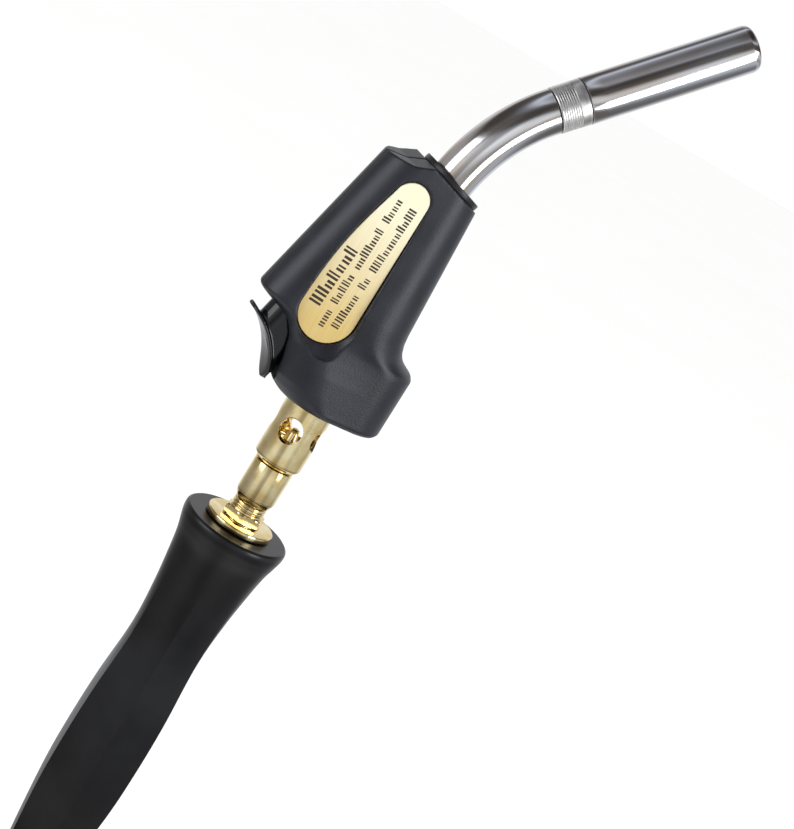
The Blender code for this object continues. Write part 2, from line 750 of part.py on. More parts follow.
def make_spark_parts(looks, mouth):
    """Insulator through the tube wall, the electrode, its lead and the earth strap."""
    frame = tilted(Vector((0, 0, INSULATOR_Z)), -math.pi / 2)
    outer = ELECTRODE_ELBOW + INSULATOR_LENGTH
    bore = ELECTRODE_R + GAP
    head = INSULATOR_R + 0.0008
    seat = TUBE_R + 0.0006
    bush = [
        (bore, ELECTRODE_ELBOW + 0.0005),
        (INSULATOR_R, ELECTRODE_ELBOW + 0.0005),
        (INSULATOR_R, seat),
        (head, seat),
        (head, seat + 0.0012),
        (INSULATOR_R, seat + 0.0012),
        (INSULATOR_R, outer),
        (bore, outer),
    ]
    turned("electrode_insulator", bush, looks["ceramic"], frame, steps=12)

    elbow = arc((-ELECTRODE_ELBOW, INSULATOR_Z + ELECTRODE_ELBOW), ELECTRODE_ELBOW,
                -math.pi / 2, 0, 6)
    nub = -(outer + 0.0012)
    points = [Vector((nub, 0, INSULATOR_Z))]
    points += [Vector((x, 0, z)) for x, z in elbow]
    bend = BEND_RADIUS * BEND_ANGLE
    points += [centreline(bend * step / 12)[0] for step in range(13)]
    tip = bend + mouth - SWIRLER_DEPTH + ELECTRODE_STAND_OUT
    points.append(centreline(tip)[0])
    rod("spark_electrode", points, ELECTRODE_R, looks["zinc_steel"])

    end = Vector((nub - LEAD_R * 0.2, 0, INSULATOR_Z + ELECTRODE_R + GAP))
    start = PIEZO @ Vector((-0.0018, 0, PIEZO_START + PIEZO_LENGTH + 3 * GAP))
    arch_foot = INSULATOR_Z + 0.0020
    arch = arc((end.x - LEAD_ARCH, arch_foot), LEAD_ARCH, 0, math.pi, 9)
    lead = [end] + [Vector((x, 0, z)) for x, z in arch] + [start]
    rod("ignition_lead", lead, LEAD_R, looks["lead_red"])

    top = PIEZO @ Vector((0, 0, PIEZO_START + PIEZO_LENGTH + GAP))
    inner = [(top.x - 0.0022, top.z + 0.0009), (top.x + 0.0030, top.z + 0.0002),
             (-TUBE_R - 0.0008, top.z + 0.0040), (-TUBE_R - 0.0004, top.z + 0.0058)]
    outer_side = [(x - STRAP_THICK * 0.7, z + STRAP_THICK) for x, z in reversed(inner)]
    frame = Matrix.Rotation(math.pi / 2, 4, "X")
    low = -(INSULATOR_R + 0.0010 + STRAP_WIDTH)
    prism("earth_strap", inner + outer_side, low, low + STRAP_WIDTH, looks["zinc_steel"], frame)


# ---------------------------------------------------------------- housing

def bulge_x(height):
    """The bulge's middle at a height above the housing's foot."""
    return BULGE_FOOT.x + (height - BULGE_FOOT.z) * math.tan(BULGE_TILT)


def housing_rings():
    """Level outlines up the housing: each wraps a left and a right circle."""
    def shoulder(height):
        share = (height - 0.0305) / (SHOULDER_HEIGHT - 0.0305)
        return SKIRT_RIGHT_R + (SHOULDER_R - SKIRT_RIGHT_R) * share

    left, right, far = SKIRT_LEFT_R, SKIRT_RIGHT_R, SKIRT_RIGHT_X
    stations = [
        (0.0, 0.0006, left - 0.0007, far, right - 0.0007),
        (0.0011, -0.0006, left, far, right),
        (0.0028, -0.0026, left, far, right),
        (0.0055, -0.0043, left, far, right),
        (0.0113, -0.0060, left - 0.0001, far, right),
        (0.0158, -0.0079, left - 0.0007, far, right),
        (0.0188, -0.0108, left - 0.0015, far, right),
        (0.0202, -0.0130, left - 0.0021, far - 0.0010, right),
        (0.0216, -0.0160, left - 0.0028, far - 0.0036, right),
        (0.0227, -0.0193, left - 0.0035, far - 0.0052, right),
        (0.0237, -0.0220, BULGE_R + 0.0002, far - 0.0061, right),
        (0.0247, bulge_x(0.0247), BULGE_R, far - 0.0068, right),
        (0.0275, bulge_x(0.0275), BULGE_R, far - 0.0078, right),
        (0.0305, bulge_x(0.0305), BULGE_R, 0.0, right),
        (SHOULDER_HEIGHT, bulge_x(SHOULDER_HEIGHT), BULGE_R, 0.0, SHOULDER_R),
        (0.0800, bulge_x(0.0800), BULGE_R, 0.0, shoulder(0.0800)),
    ]
    rings = []
    for height, left_x, left_r, right_x, right_r in stations:
        outline = two_circle_outline(left_x, left_r, right_x, right_r)
        rings.append([(x, y, HOUSING_FOOT + height) for x, y in outline])
    return rings


def roof_cutter():
    """Everything above the housing's roof: a ridge with a dip on the bulge's side."""
    slope = math.tan(ROOF_TILT)
    far = 0.040
    outline = [
        (-far, PEAK_HEIGHT - 0.0090),
        (bulge_x(0.0730) - BULGE_R, PEAK_HEIGHT - 0.0026),
        (bulge_x(0.0730) - 0.0030, PEAK_HEIGHT - 0.0020),
        (PEAK_X, PEAK_HEIGHT),
        (far, PEAK_HEIGHT - (far - PEAK_X) * slope),
        (far, PEAK_HEIGHT + 0.020),
        (-far, PEAK_HEIGHT + 0.020),
    ]
    frame = Matrix.Translation((0, 0, HOUSING_FOOT)) @ Matrix.Rotation(math.pi / 2, 4, "X")
    return prism("roof_cutter", outline, -0.030, 0.030, None, frame, hidden=True)


def tube_cavity_cutter():
    """The turned hollow round the mixer socket and the burn tube."""
    low, top = HOUSING_FOOT - 0.002, HOUSING_FOOT + 0.090
    floor = HOUSING_FOOT + HOUSING_FLOOR
    rib = SOCKET_TOP + GAP
    roof = HOUSING_FOOT + CAVITY_TOP
    neck = TUBE_R + GAP
    exit_r = TUBE_R + 0.0010
    profile = [
        (0, top),
        (exit_r, top),
        (exit_r, roof + 0.002),
        (CAVITY_R, roof),
        (CAVITY_R, rib + HOUSING_RIB),
        (neck, rib + HOUSING_RIB),
        (neck, rib),
        (MIXER_SOCKET_R + 0.0006, rib),
        (MIXER_SOCKET_R + 0.0006, floor),
        (MIXER_R + GAP, floor),
        (MIXER_R + GAP, low),
        (0, low),
    ]
    return turned("tube_cavity_cutter", profile, None, hidden=True, steps=STEPS)


def piezo_cavity_cutter():
    """The slanted hollow that holds the lighter."""
    radius = PIEZO_CAVITY_R
    profile = [(0, PIEZO_CAVITY_TOP), (radius, PIEZO_CAVITY_TOP), (radius, -0.001), (0, -0.001)]
    return turned("piezo_cavity_cutter", profile, None, PIEZO, hidden=True)


def wiring_cutter():
    """The way between the two hollows for the electrode, its lead and the earth strap."""
    low, high = INSULATOR_Z - WIRING_DROP, HOUSING_FOOT + CAVITY_TOP
    left = PIEZO @ Vector((0, 0, PIEZO_START + PIEZO_LENGTH))
    outline = [(left.x, -WIRING_HALF), (-TUBE_R * 0.6, -WIRING_HALF),
               (-TUBE_R * 0.6, WIRING_HALF), (left.x, WIRING_HALF)]
    return prism("wiring_cutter", outline, low, high, None, hidden=True)


def trigger_slot_cutter():
    """The slanted slot in which the trigger's block slides, open below."""
    radius = BLOCK_R + SLOT_CLEARANCE
    # It reaches further in than the block, to clear the corners of the pad's low end.
    outline = two_circle_outline(BLOCK_NEAR, radius, BLOCK_FAR + SLOT_EXTRA, radius, 9)
    top = BLOCK_TOP + TRAVEL + 2 * RUN
    return prism("trigger_slot_cutter", outline, -0.040, top, None, PIEZO, hidden=True)


def label_outline(grow=0.0, slide=0.0):
    """The plate's drop shape. grow adds an even margin; slide draws its low end out aside."""
    axis = LABEL_HIGH - LABEL_LOW
    turn = math.atan2(axis.y, axis.x)
    low_r, high_r = LABEL_LOW_R + grow, LABEL_HIGH_R + grow
    outline = two_circle_outline(0.0, low_r, axis.length, high_r, 13, bow_high=LABEL_BOW)
    away = RECESS_SLIDE.normalized()
    points = []
    for x, y in outline:
        place = LABEL_LOW + Vector((x * math.cos(turn) - y * math.sin(turn),
                                    x * math.sin(turn) + y * math.cos(turn)))
        faces_away = max((place - LABEL_LOW).normalized() @ away, 0.0)
        nearness = 1 - min(max(x / axis.length, 0.0), 1.0)
        points.append(place + RECESS_SLIDE * slide * faces_away * nearness)
    return [(point.x, point.y) for point in points]


def recess_cutter():
    """A pocket with a flat floor behind the plate and a ramp that widens downward."""
    floor = LABEL_FACE - LABEL_THICK - GAP
    brim = LABEL_THICK + 2 * GAP
    rings = []
    for height, slide in ((0.0, 0.0), (brim, 0.0), (brim + RECESS_RISE, 1.0), (brim + 3 * RECESS_RISE, 1.0)):
        outline = label_outline(GAP, slide)
        rings.append([(x, y, floor + height) for x, y in outline])
    return lofted("recess_cutter", rings, None, LABEL, hidden=True)


def screw_places():
    """Where the three housing screws stand: skirt, web between the hollows, and roof."""
    web_height = TRIGGER_ROOF + 2 * SCREW_R
    hollow_side = bulge_x(web_height) + PIEZO_CAVITY_R / math.cos(BULGE_TILT)
    web_x = (hollow_side - CAVITY_R) / 2
    roof_height = (PIEZO_CAVITY_TOP * math.cos(BULGE_TILT) + BULGE_FOOT.z + PEAK_HEIGHT) / 2
    return [
        Vector((SKIRT_RIGHT_X + SKIRT_RIGHT_R - 0.0062, 0, HOUSING_FOOT + 0.0085)),
        Vector((web_x, 0, HOUSING_FOOT + web_height)),
        Vector((bulge_x(roof_height) - 0.0005, 0, HOUSING_FOOT + roof_height - 0.0010)),
    ]


def make_housing(looks):
    """Near and far shells cut from one form, with the label plate and the screws."""
    half_space = [(-0.060, -0.020), (0.060, -0.020), (0.060, 0.100), (-0.060, 0.100)]
    half_frame = Matrix.Translation((0, 0, HOUSING_FOOT)) @ Matrix.Rotation(math.pi / 2, 4, "X")
    split = HOUSING_SPLIT / 2
    cutters = [roof_cutter(), tube_cavity_cutter(), piezo_cavity_cutter(), wiring_cutter(),
               trigger_slot_cutter()]
    shells = {}
    for name, low, high in (("housing_near_shell", -0.040, split), ("housing_far_shell", -split, 0.040)):
        shell = lofted(name, housing_rings(), looks["housing_plastic"])
        box = prism(name + "_half_cutter", half_space, low, high, None, half_frame, hidden=True)
        for cutter in [box] + cutters:
            change(shell, cutter)
        shells[name] = shell
    change(shells["housing_near_shell"], recess_cutter())

    head_y = SCREW_LENGTH / 2
    for index, place in enumerate(screw_places(), start=1):
        frame = Matrix.Translation(place) @ Matrix.Rotation(-math.pi / 2, 4, "X")
        shank = SCREW_R + GAP
        seat = SCREW_HEAD_R + GAP
        reach = SCREW_LENGTH - head_y
        hole = [(0, 0.030), (seat, 0.030), (seat, head_y - GAP), (shank, head_y - GAP),
                (shank, -reach - GAP), (0, -reach - GAP)]
        cutter = turned(f"screw_hole_cutter_{index}", hole, None, frame, hidden=True, steps=12)
        for shell in shells.values():
            change(shell, cutter)
        slot = SCREW_HEAD_R * 0.45
        screw = [(0, head_y + SCREW_HEAD * 0.4), (slot, head_y + SCREW_HEAD * 0.4, 1.0),
                 (slot, head_y + SCREW_HEAD, 1.0), (SCREW_HEAD_R * 0.8, head_y + SCREW_HEAD),
                 (SCREW_HEAD_R, head_y + SCREW_HEAD * 0.6), (SCREW_HEAD_R, head_y),
                 (SCREW_R, head_y), (SCREW_R, -reach + 0.0010), (0, -reach)]
        turned(f"housing_screw_{index}", screw, looks["zinc_steel"], frame, steps=12)

    plate = prism("label_plate", label_outline(), LABEL_FACE - LABEL_THICK, LABEL_FACE,
                  looks["gold_plate"], LABEL)
    return shells, plate


def make_collar(looks):
    """The heat collar: a washer round the burn tube, lying on the sloping roof."""
    slope = math.tan(ROOF_TILT)
    roof = Vector((0.0003, 0, HOUSING_FOOT + PEAK_HEIGHT - (0.0003 - PEAK_X) * slope))
    frame = tilted(roof, ROOF_TILT) @ Matrix.Translation((0, 0, 2 * GAP))
    top = COLLAR_THICK
    bore = TUBE_R + COLLAR_CLEARANCE
    profile = [(bore, 0), (bore, top), (COLLAR_R - 0.0003, top),
               (COLLAR_R, top - 0.0003), (COLLAR_R, 0)]
    turned("heat_collar", profile, looks["trigger_plastic"], frame, steps=STEPS)


# ---------------------------------------------------------------- lighter

def pad_curve(offset, count=9):
    """The thumb pad's curve in the bulge's frame, moved off by an amount to its back."""
    chord = PAD_END - PAD_TIP
    half = chord.length / 2
    radius = (half * half + PAD_SAG * PAD_SAG) / (2 * PAD_SAG)
    along = chord.normalized()
    back = Vector((-along.y, along.x))
    middle = PAD_TIP + chord / 2 + back * (PAD_SAG - radius)
    swing = math.asin(half / radius)
    angles = [-swing + 2 * swing * step / (count - 1) for step in range(count)]
    reach = radius + offset
    return [middle + along * (reach * math.sin(a)) + back * (reach * math.cos(a)) for a in angles]


def pad_height(across, offset):
    """Height of the pad's curve, moved off by an amount, at a place across the bulge."""
    points = pad_curve(offset, 33)
    after = next((i for i, point in enumerate(points) if point.x >= across), len(points) - 1)
    low, high = points[max(after - 1, 0)], points[after]
    if high.x == low.x:
        return high.y
    return low.y + (high.y - low.y) * (across - low.x) / (high.x - low.x)


def make_trigger(looks):
    """Sliding trigger: a curved thumb pad on a rounded block."""
    pivot = PIEZO.translation
    front, behind = pad_curve(0.0, 13), pad_curve(PAD_THICK, 13)
    rings = []
    for index, (low, high) in enumerate(zip(front, behind)):
        # The pad's two ends are round: its half width follows a flattened ellipse.
        share = abs(2 * index / (len(front) - 1) - 1)
        half = PAD_HALF_WIDTH * max(1 - share ** 4, 0.0) ** 0.5 if share < 1 else 0.0
        half = max(half, PAD_HALF_WIDTH * 0.35)
        rings.append([(low.x, -half, low.y), (high.x, -half * 0.96, high.y),
                      (high.x, half * 0.96, high.y), (low.x, half, low.y)])
    pad = lofted("trigger", rings, looks["trigger_plastic"], PIEZO)

    outline = two_circle_outline(BLOCK_NEAR, BLOCK_R, BLOCK_FAR, BLOCK_R, 9)
    foot = [(x, y, pad_height(x, PAD_THICK * 0.5)) for x, y in outline]
    lift = [(x, y, (z + BLOCK_TOP) / 2) for x, y, z in foot]
    top = [(x, y, BLOCK_TOP) for x, y in outline]
    block = lofted("trigger_block_form", [foot, lift, top], None, PIEZO, hidden=True)
    change(pad, block, "UNION")
    set_origin(pad, pivot)

    base = BLOCK_TOP + GAP
    plunger = [(0, base), (PLUNGER_R, base), (PLUNGER_R, base + PLUNGER_LENGTH - 0.0006),
               (PLUNGER_R - 0.0006, base + PLUNGER_LENGTH), (0, base + PLUNGER_LENGTH)]
    turned("piezo_plunger", plunger, looks["ceramic"], PIEZO, steps=12)


def make_lighter(looks):
    """The piezo unit and the coil spring that pushes the trigger back."""
    bore = PLUNGER_R + RUN
    top = PIEZO_START + PIEZO_LENGTH
    chamfer = 0.0006
    body = [
        (0, top),
        (PIEZO_R - chamfer, top),
        (PIEZO_R, top - chamfer),
        (PIEZO_R, PIEZO_START + chamfer),
        (PIEZO_R - chamfer, PIEZO_START),
        (bore, PIEZO_START),
        (bore, top - PIEZO_END_WALL),
        (0, top - PIEZO_END_WALL),
    ]
    turned("piezo_unit", body, looks["piezo_plastic"], PIEZO)

    low = BLOCK_TOP + GAP + SPRING_WIRE
    high = PIEZO_START - GAP - SPRING_WIRE
    middle = (PLUNGER_R + PIEZO_R) / 2
    points = []
    count = SPRING_TURNS * 12
    for step in range(count + 1):
        turn = 2 * math.pi * SPRING_TURNS * step / count
        height = low + (high - low) * step / count
        points.append(PIEZO @ Vector((middle * math.cos(turn), middle * math.sin(turn), height)))
    rod("return_spring", points, SPRING_WIRE, looks["zinc_steel"], sides=1)


# ---------------------------------------------------------------- valve and inlet

def make_valve(looks):
    """Needle valve below the grip, with its packing nut, spindle and knob."""
    half = VALVE_FLATS / 2
    tube_seat = GAS_TUBE_R + GAP
    seat_floor = VALVE_TOP - 0.0040 - GAP
    nipple_seat = NIPPLE_STUD_R + GAP
    profile = [
        (0, seat_floor),
        (tube_seat, seat_floor),
        (tube_seat, VALVE_TOP),
        (half - 0.0010, VALVE_TOP),
        (half, VALVE_TOP - 0.0010, 1.0),
        (half, VALVE_FOOT + 0.0012, 1.0),
        (half - 0.0012, VALVE_FOOT),
        (nipple_seat, VALVE_FOOT),
        (nipple_seat, VALVE_FOOT + NIPPLE_STUD + GAP),
        (0, VALVE_FOOT + NIPPLE_STUD + GAP),
    ]
    body = turned("valve_body", profile, looks["brass"])
    boss = [(0, BOSS_REACH), (BOSS_R - 0.0004, BOSS_REACH), (BOSS_R, BOSS_REACH - 0.0004),
            (BOSS_R, 0.0030), (0, 0.0030)]
    change(body, turned("valve_boss_form", boss, None, VALVE, hidden=True), "UNION")
    mouth = BOSS_REACH + 0.002
    chamber = [(0, mouth), (CHAMBER_R, mouth), (CHAMBER_R, SEAT_X), (SEAT_R, SEAT_X),
               (SEAT_R, -0.0010), (0, -0.0010)]
    change(body, turned("chamber_cutter", chamber, None, VALVE, hidden=True, steps=12))
    up = [(0, seat_floor + 0.001), (TAIL_BORE, seat_floor + 0.001), (TAIL_BORE, VALVE_AXIS - 0.0004),
          (0, VALVE_AXIS - 0.0004)]
    change(body, turned("upper_way_cutter", up, None, hidden=True, steps=12))
    frame = Matrix.Translation((-SEAT_DRILL_X, 0, 0))
    inlet = VALVE_FOOT + NIPPLE_STUD
    down = [(0, VALVE_AXIS), (SEAT_R, VALVE_AXIS), (SEAT_R, inlet), (0, inlet)]
    change(body, turned("lower_way_cutter", down, None, frame, hidden=True, steps=12))

    bore = STEM_R + GAP
    nut_foot = BOSS_REACH + GAP
    nut_top = nut_foot + NUT_LENGTH
    nut = [(bore, nut_top), (NUT_FLATS / 2 - 0.0005, nut_top), (NUT_FLATS / 2, nut_top - 0.0006, 1.0),
           (NUT_FLATS / 2, nut_foot + 0.0004, 1.0), (NUT_FLATS / 2 - 0.0003, nut_foot),
           (bore, nut_foot)]
    turned("packing_nut", nut, looks["brass"], VALVE)

    knob_foot = nut_top + KNOB_STAND_OFF
    knob_top = knob_foot + KNOB_LENGTH
    stem_top = knob_top - 0.0035
    needle = SEAT_R - GAP
    ring_low = BOSS_REACH - 0.0030
    ring_half = ORING_R + GAP
    groove = THREAD_R - 2 * ORING_R - GAP + 0.0003
    shoulder = BOSS_REACH - STEM_LIFT - GAP
    hole = KNOB_SCREW_R + GAP
    spindle = [
        (hole, stem_top),
        (STEM_R, stem_top),
        (STEM_R, shoulder),
        (THREAD_R, shoulder),
        (THREAD_R, ring_low + ring_half),
        (groove, ring_low + ring_half),
        (groove, ring_low - ring_half),
        (THREAD_R, ring_low - ring_half),
        (THREAD_R, SEAT_X + NEEDLE_LENGTH),
        (needle, SEAT_X + NEEDLE_LENGTH * 0.6),
        (needle * 0.5, SEAT_X - 0.0008),
        (0, SEAT_X - 0.0008),
        (0, stem_top - 0.0060),
        (hole, stem_top - 0.0060),
    ]
    turned("valve_spindle", spindle, looks["brass"], VALVE, steps=12)
    ring = arc((groove + GAP / 2 + ORING_R, ring_low), ORING_R - GAP / 2, 0, 2 * math.pi * 7 / 8, 8)
    turned("spindle_o_ring", ring, looks["rubber"], VALVE, steps=12)
    make_knob(looks, knob_foot, knob_top, stem_top)


def make_knob(looks, foot, top, stem_top):
    """Lobed valve knob, held on the stem by a screw."""
    stem = STEM_R + GAP
    sink = KNOB_SCREW_HEAD_R + GAP
    floor = stem_top + GAP
    hole = KNOB_SCREW_R + GAP
    outer = KNOB_R - KNOB_LOBE_DEPTH
    steps = KNOB_LOBES * 4
    levels = [(outer * 0.72, foot, 0.0), (outer, foot + 0.0012, 1.0), (outer, top - 0.0015, 1.0),
              (outer * 0.90, top, 0.4)]
    bore = [(sink, top), (sink, floor + 0.0012), (hole, floor + 0.0012), (hole, floor),
            (stem, floor), (stem, foot)]
    rings = []
    for radius, height, lobed in levels:
        ring = []
        for step in range(steps):
            angle = 2 * math.pi * step / steps
            wave = 0.5 + 0.5 * math.cos(KNOB_LOBES * angle)
            reach = radius + KNOB_LOBE_DEPTH * lobed * wave
            ring.append((reach * math.cos(angle), reach * math.sin(angle), height))
        rings.append(ring)
    for radius, height in bore:
        angles = [2 * math.pi * step / steps for step in range(steps)]
        rings.append([(radius * math.cos(a), radius * math.sin(a), height) for a in angles])
    lofted("valve_knob", rings, looks["trigger_plastic"], VALVE, closed=True)

    seat = floor + 0.0012 + GAP
    slot = KNOB_SCREW_HEAD_R * 0.45
    screw = [(0, seat + 0.0005), (slot, seat + 0.0005, 1.0), (slot, seat + 0.0013, 1.0),
             (KNOB_SCREW_HEAD_R * 0.8, seat + 0.0013), (KNOB_SCREW_HEAD_R, seat + 0.0008),
             (KNOB_SCREW_HEAD_R, seat), (KNOB_SCREW_R, seat), (KNOB_SCREW_R, stem_top - 0.0050),
             (0, stem_top - 0.0050)]
    turned("knob_screw", screw, looks["zinc_steel"], VALVE, steps=18)


def make_inlet(looks):
    """The hose inlet: nipple with a left-hand thread's form, its seal and its strainer."""
    seal_top = VALVE_FOOT - GAP
    seal = [(NIPPLE_STUD_R + GAP, seal_top), (NIPPLE_FLATS / 2 - 0.0010, seal_top),
            (NIPPLE_FLATS / 2 - 0.0010, seal_top - SEAL_THICK),
            (NIPPLE_STUD_R + GAP, seal_top - SEAL_THICK)]
    turned("inlet_seal", seal, looks["fibre"])

    hex_top = seal_top - SEAL_THICK - GAP
    hex_low = hex_top - NIPPLE_HEX
    half = NIPPLE_FLATS / 2
    end = hex_low - NIPPLE_THREAD
    stud_top = VALVE_FOOT + NIPPLE_STUD
    filter_r = NIPPLE_BORE + 0.0009
    filter_floor = stud_top - FILTER_LENGTH - 0.0020
    crest, root = NIPPLE_THREAD_R, NIPPLE_THREAD_R - 0.0006
    thread = []
    turns = 4
    pitch = (NIPPLE_THREAD - 0.0030) / turns
    for turn in range(turns):
        high = hex_low - 0.0015 - turn * pitch
        thread += [(root, high), (crest, high - pitch / 2)]
    thread.append((root, hex_low - 0.0015 - turns * pitch))
    profile = [(filter_r, stud_top), (NIPPLE_STUD_R, stud_top), (NIPPLE_STUD_R, hex_top),
               (half - 0.0005, hex_top), (half, hex_top - 0.0008, 1.0),
               (half, hex_low + 0.0008, 1.0), (half - 0.0005, hex_low), (root, hex_low)]
    profile += thread
    profile += [(root - 0.0006, end), (NIPPLE_BORE + 0.0022, end), (NIPPLE_BORE, end + 0.0022),
                (NIPPLE_BORE, filter_floor), (filter_r, filter_floor)]
    turned("hose_inlet_nipple", profile, looks["brass"])
    high = filter_floor + GAP + FILTER_LENGTH
    core = [(0, high), (filter_r - GAP, high), (filter_r - GAP, filter_floor + GAP),
            (0, filter_floor + GAP)]
    turned("inlet_strainer", core, looks["bronze"], steps=12)


def main():
    for obj in list(bpy.data.objects):
        bpy.data.objects.remove(obj, do_unlink=True)
    looks = make_materials()
    make_grip(looks)
    make_gas_tube(looks)
    make_outlet(looks)
    stud_top, jet_floor, jet_socket = make_connector(looks)
    make_mixer(looks, stud_top, jet_floor, jet_socket)
    make_burn_tube(looks)
    union_top = make_union(looks)
    mouth = make_barrel(looks, union_top)
    make_spark_parts(looks, mouth)
    make_housing(looks)
    make_collar(looks)
    make_trigger(looks)
    make_lighter(looks)
    make_valve(looks)
    make_inlet(looks)
    bpy.context.view_layer.update()


main()
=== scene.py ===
# %% [markdown]
# A hand-held gas torch, built as a lesson in Blender and numpy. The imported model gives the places
# of all forty pieces; this script dresses the ones that show in smooth surfaces and real finishes.
# Lengths are in metres and +Z runs along the grip towards the burner, so a piece worked out here
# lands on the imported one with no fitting.

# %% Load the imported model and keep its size
import math

import bmesh
import bpy
import numpy as np
from mathutils import Matrix, Vector


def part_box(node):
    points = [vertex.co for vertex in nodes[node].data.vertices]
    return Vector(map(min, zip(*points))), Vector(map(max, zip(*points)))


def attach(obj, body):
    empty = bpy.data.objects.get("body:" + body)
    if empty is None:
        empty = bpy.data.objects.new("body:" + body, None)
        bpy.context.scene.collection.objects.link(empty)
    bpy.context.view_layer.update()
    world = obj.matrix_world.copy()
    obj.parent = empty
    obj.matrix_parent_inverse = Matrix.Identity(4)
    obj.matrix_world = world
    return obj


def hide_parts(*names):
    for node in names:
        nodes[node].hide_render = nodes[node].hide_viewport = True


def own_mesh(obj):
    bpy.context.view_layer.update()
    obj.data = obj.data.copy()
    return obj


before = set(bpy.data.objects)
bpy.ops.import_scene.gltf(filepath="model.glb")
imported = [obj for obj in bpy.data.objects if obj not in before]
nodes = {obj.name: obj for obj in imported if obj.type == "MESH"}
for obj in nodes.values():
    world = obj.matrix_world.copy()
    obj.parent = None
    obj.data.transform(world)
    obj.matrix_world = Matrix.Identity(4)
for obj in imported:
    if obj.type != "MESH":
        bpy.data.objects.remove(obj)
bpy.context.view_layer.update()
MM = 0.001

# %% [markdown]
# Every turned or bent piece is a grid of points: rows follow an outline, columns go round. One
# function turns such a grid into a mesh, so each piece below only has to give its formula. The
# grid also carries a UV map in metres, which the finishes use for lathe lines and drawn lines.

# %% A grid of points becomes a mesh
SMOOTH_ANGLE = math.radians(32)
MERGE = 2e-7


def linked(name, mesh, look):
    """Puts a mesh in the scene under a name, with one material."""
    piece = bpy.data.objects.new(name, mesh)
    bpy.context.scene.collection.objects.link(piece)
    if look is not None:
        mesh.materials.append(look)
    return piece


def tidied(mesh):
    """Merges doubled points, drops collapsed faces and turns every face outwards."""
    bm = bmesh.new()
    bm.from_mesh(mesh)
    bmesh.ops.remove_doubles(bm, verts=bm.verts, dist=MERGE)
    bmesh.ops.dissolve_degenerate(bm, edges=bm.edges, dist=MERGE)
    bmesh.ops.recalc_face_normals(bm, faces=bm.faces)
    bm.to_mesh(mesh)
    bm.free()
    mesh.shade_smooth()
    mesh.set_sharp_from_angle(angle=SMOOTH_ANGLE)


def skin(name, grid, look=None, along=True, place=None):
    """Quads between neighbouring grid points, closed round the columns.

    Point (i, j) joins (i, j+1), (i+1, j+1) and (i+1, j). When along is set the last row joins
    the first, as on a ring; otherwise both end rows are closed with one flat face.
    """
    rows, columns = grid.shape[:2]
    number = np.arange(rows * columns).reshape(rows, columns)
    number = np.column_stack([number, number[:, :1]])
    step_round = np.linalg.norm(np.diff(grid, axis=1, append=grid[:, :1]), axis=2).mean(0)
    step_along = np.linalg.norm(np.diff(grid, axis=0, append=grid[:1]), axis=2).mean(1)
    across = np.concatenate([[0.0], np.cumsum(step_round)])
    length = np.concatenate([[0.0], np.cumsum(step_along)])
    if along:
        number = np.vstack([number, number[:1]])
    corners = [(0, 0), (0, 1), (1, 1), (1, 0)]
    down, right = number.shape[0] - 1, number.shape[1] - 1
    quads = np.stack([number[i:down + i, j:right + j] for i, j in corners], -1).reshape(-1, 4)
    uv_grid = np.stack(np.broadcast_arrays(across[None, :], length[:down + 1, None]), -1)
    uv = np.stack([uv_grid[i:down + i, j:right + j] for i, j in corners], 2).reshape(-1, 2)
    faces = quads.tolist()
    if not along:
        faces += [number[0, :-1].tolist(), number[-1, :-1].tolist()]
        uv = np.vstack([uv, np.zeros((2 * columns, 2))])
    mesh = bpy.data.meshes.new(name)
    mesh.from_pydata(grid.reshape(-1, 3), [], faces)
    layer = mesh.uv_layers.new(name="metres")
    layer.data.foreach_set("uv", uv.astype(np.float32).ravel())
    if place is not None:
        mesh.transform(place)
    tidied(mesh)
    return linked(name, mesh, look)


# %% [markdown]
# A lathe rounds every edge a little, and the eye reads that thin bright line as real metal. So an
# outline is given by its sharp corners, and each corner is then replaced by a short curve. The
# curve is a parabola between two points that lie the edge radius away on both sides.

# %% Outlines with rounded corners, and pieces turned from them
NO_FLATS = 99.0           # millimetres, wider than any piece, so it cuts nothing


def rounded(corners, radius, bend=4):
    """Each corner c becomes (1-s)^2 a + 2s(1-s) c + s^2 b, with a and b on its two sides."""
    before, after = np.roll(corners, 1, 0) - corners, np.roll(corners, -1, 0) - corners
    room_before = np.linalg.norm(before[:, :2], axis=1)
    room_after = np.linalg.norm(after[:, :2], axis=1)
    reach = np.minimum(radius, 0.4 * np.minimum(room_before, room_after))
    reach = np.where(corners[:, 0] < MERGE, 0.0, reach)     # a corner on the axis stays sharp
    start = corners + before * (reach / np.maximum(room_before, MERGE))[:, None]
    stop = corners + after * (reach / np.maximum(room_after, MERGE))[:, None]
    s = np.linspace(0, 1, bend)[None, :, None]
    start, corners, stop = start[:, None], corners[:, None], stop[:, None]
    curve = (1 - s) ** 2 * start + 2 * s * (1 - s) * corners + s ** 2 * stop
    return curve.reshape(-1, corners.shape[2])


def filled(points, pitch):
    """Adds evenly spaced points to the long sides of a closed outline, pitch apart or a bit more."""
    parts = []
    for start, stop in zip(points, np.roll(points, -1, 0)):
        count = max(1, int(np.linalg.norm((stop - start)[:2]) / pitch))
        parts.append(start + (stop - start) * (np.arange(count) / count)[:, None])
    return np.vstack(parts)


def full_turn(steps):
    """Angles that go once round, each a step after the last, without the first one again."""
    return np.arange(steps) * 2 * math.pi / steps


def from_flat(angle):
    """The angle from the middle of the nearest of a hexagon's six flats."""
    return angle % (math.pi / 3) - math.pi / 6


def around(radius, angle, height):
    """x = r cos a, y = r sin a, z = h in millimetres, as a grid in metres."""
    x, y = radius * np.cos(angle), radius * np.sin(angle)
    return np.stack(np.broadcast_arrays(x, y, height), -1) * MM


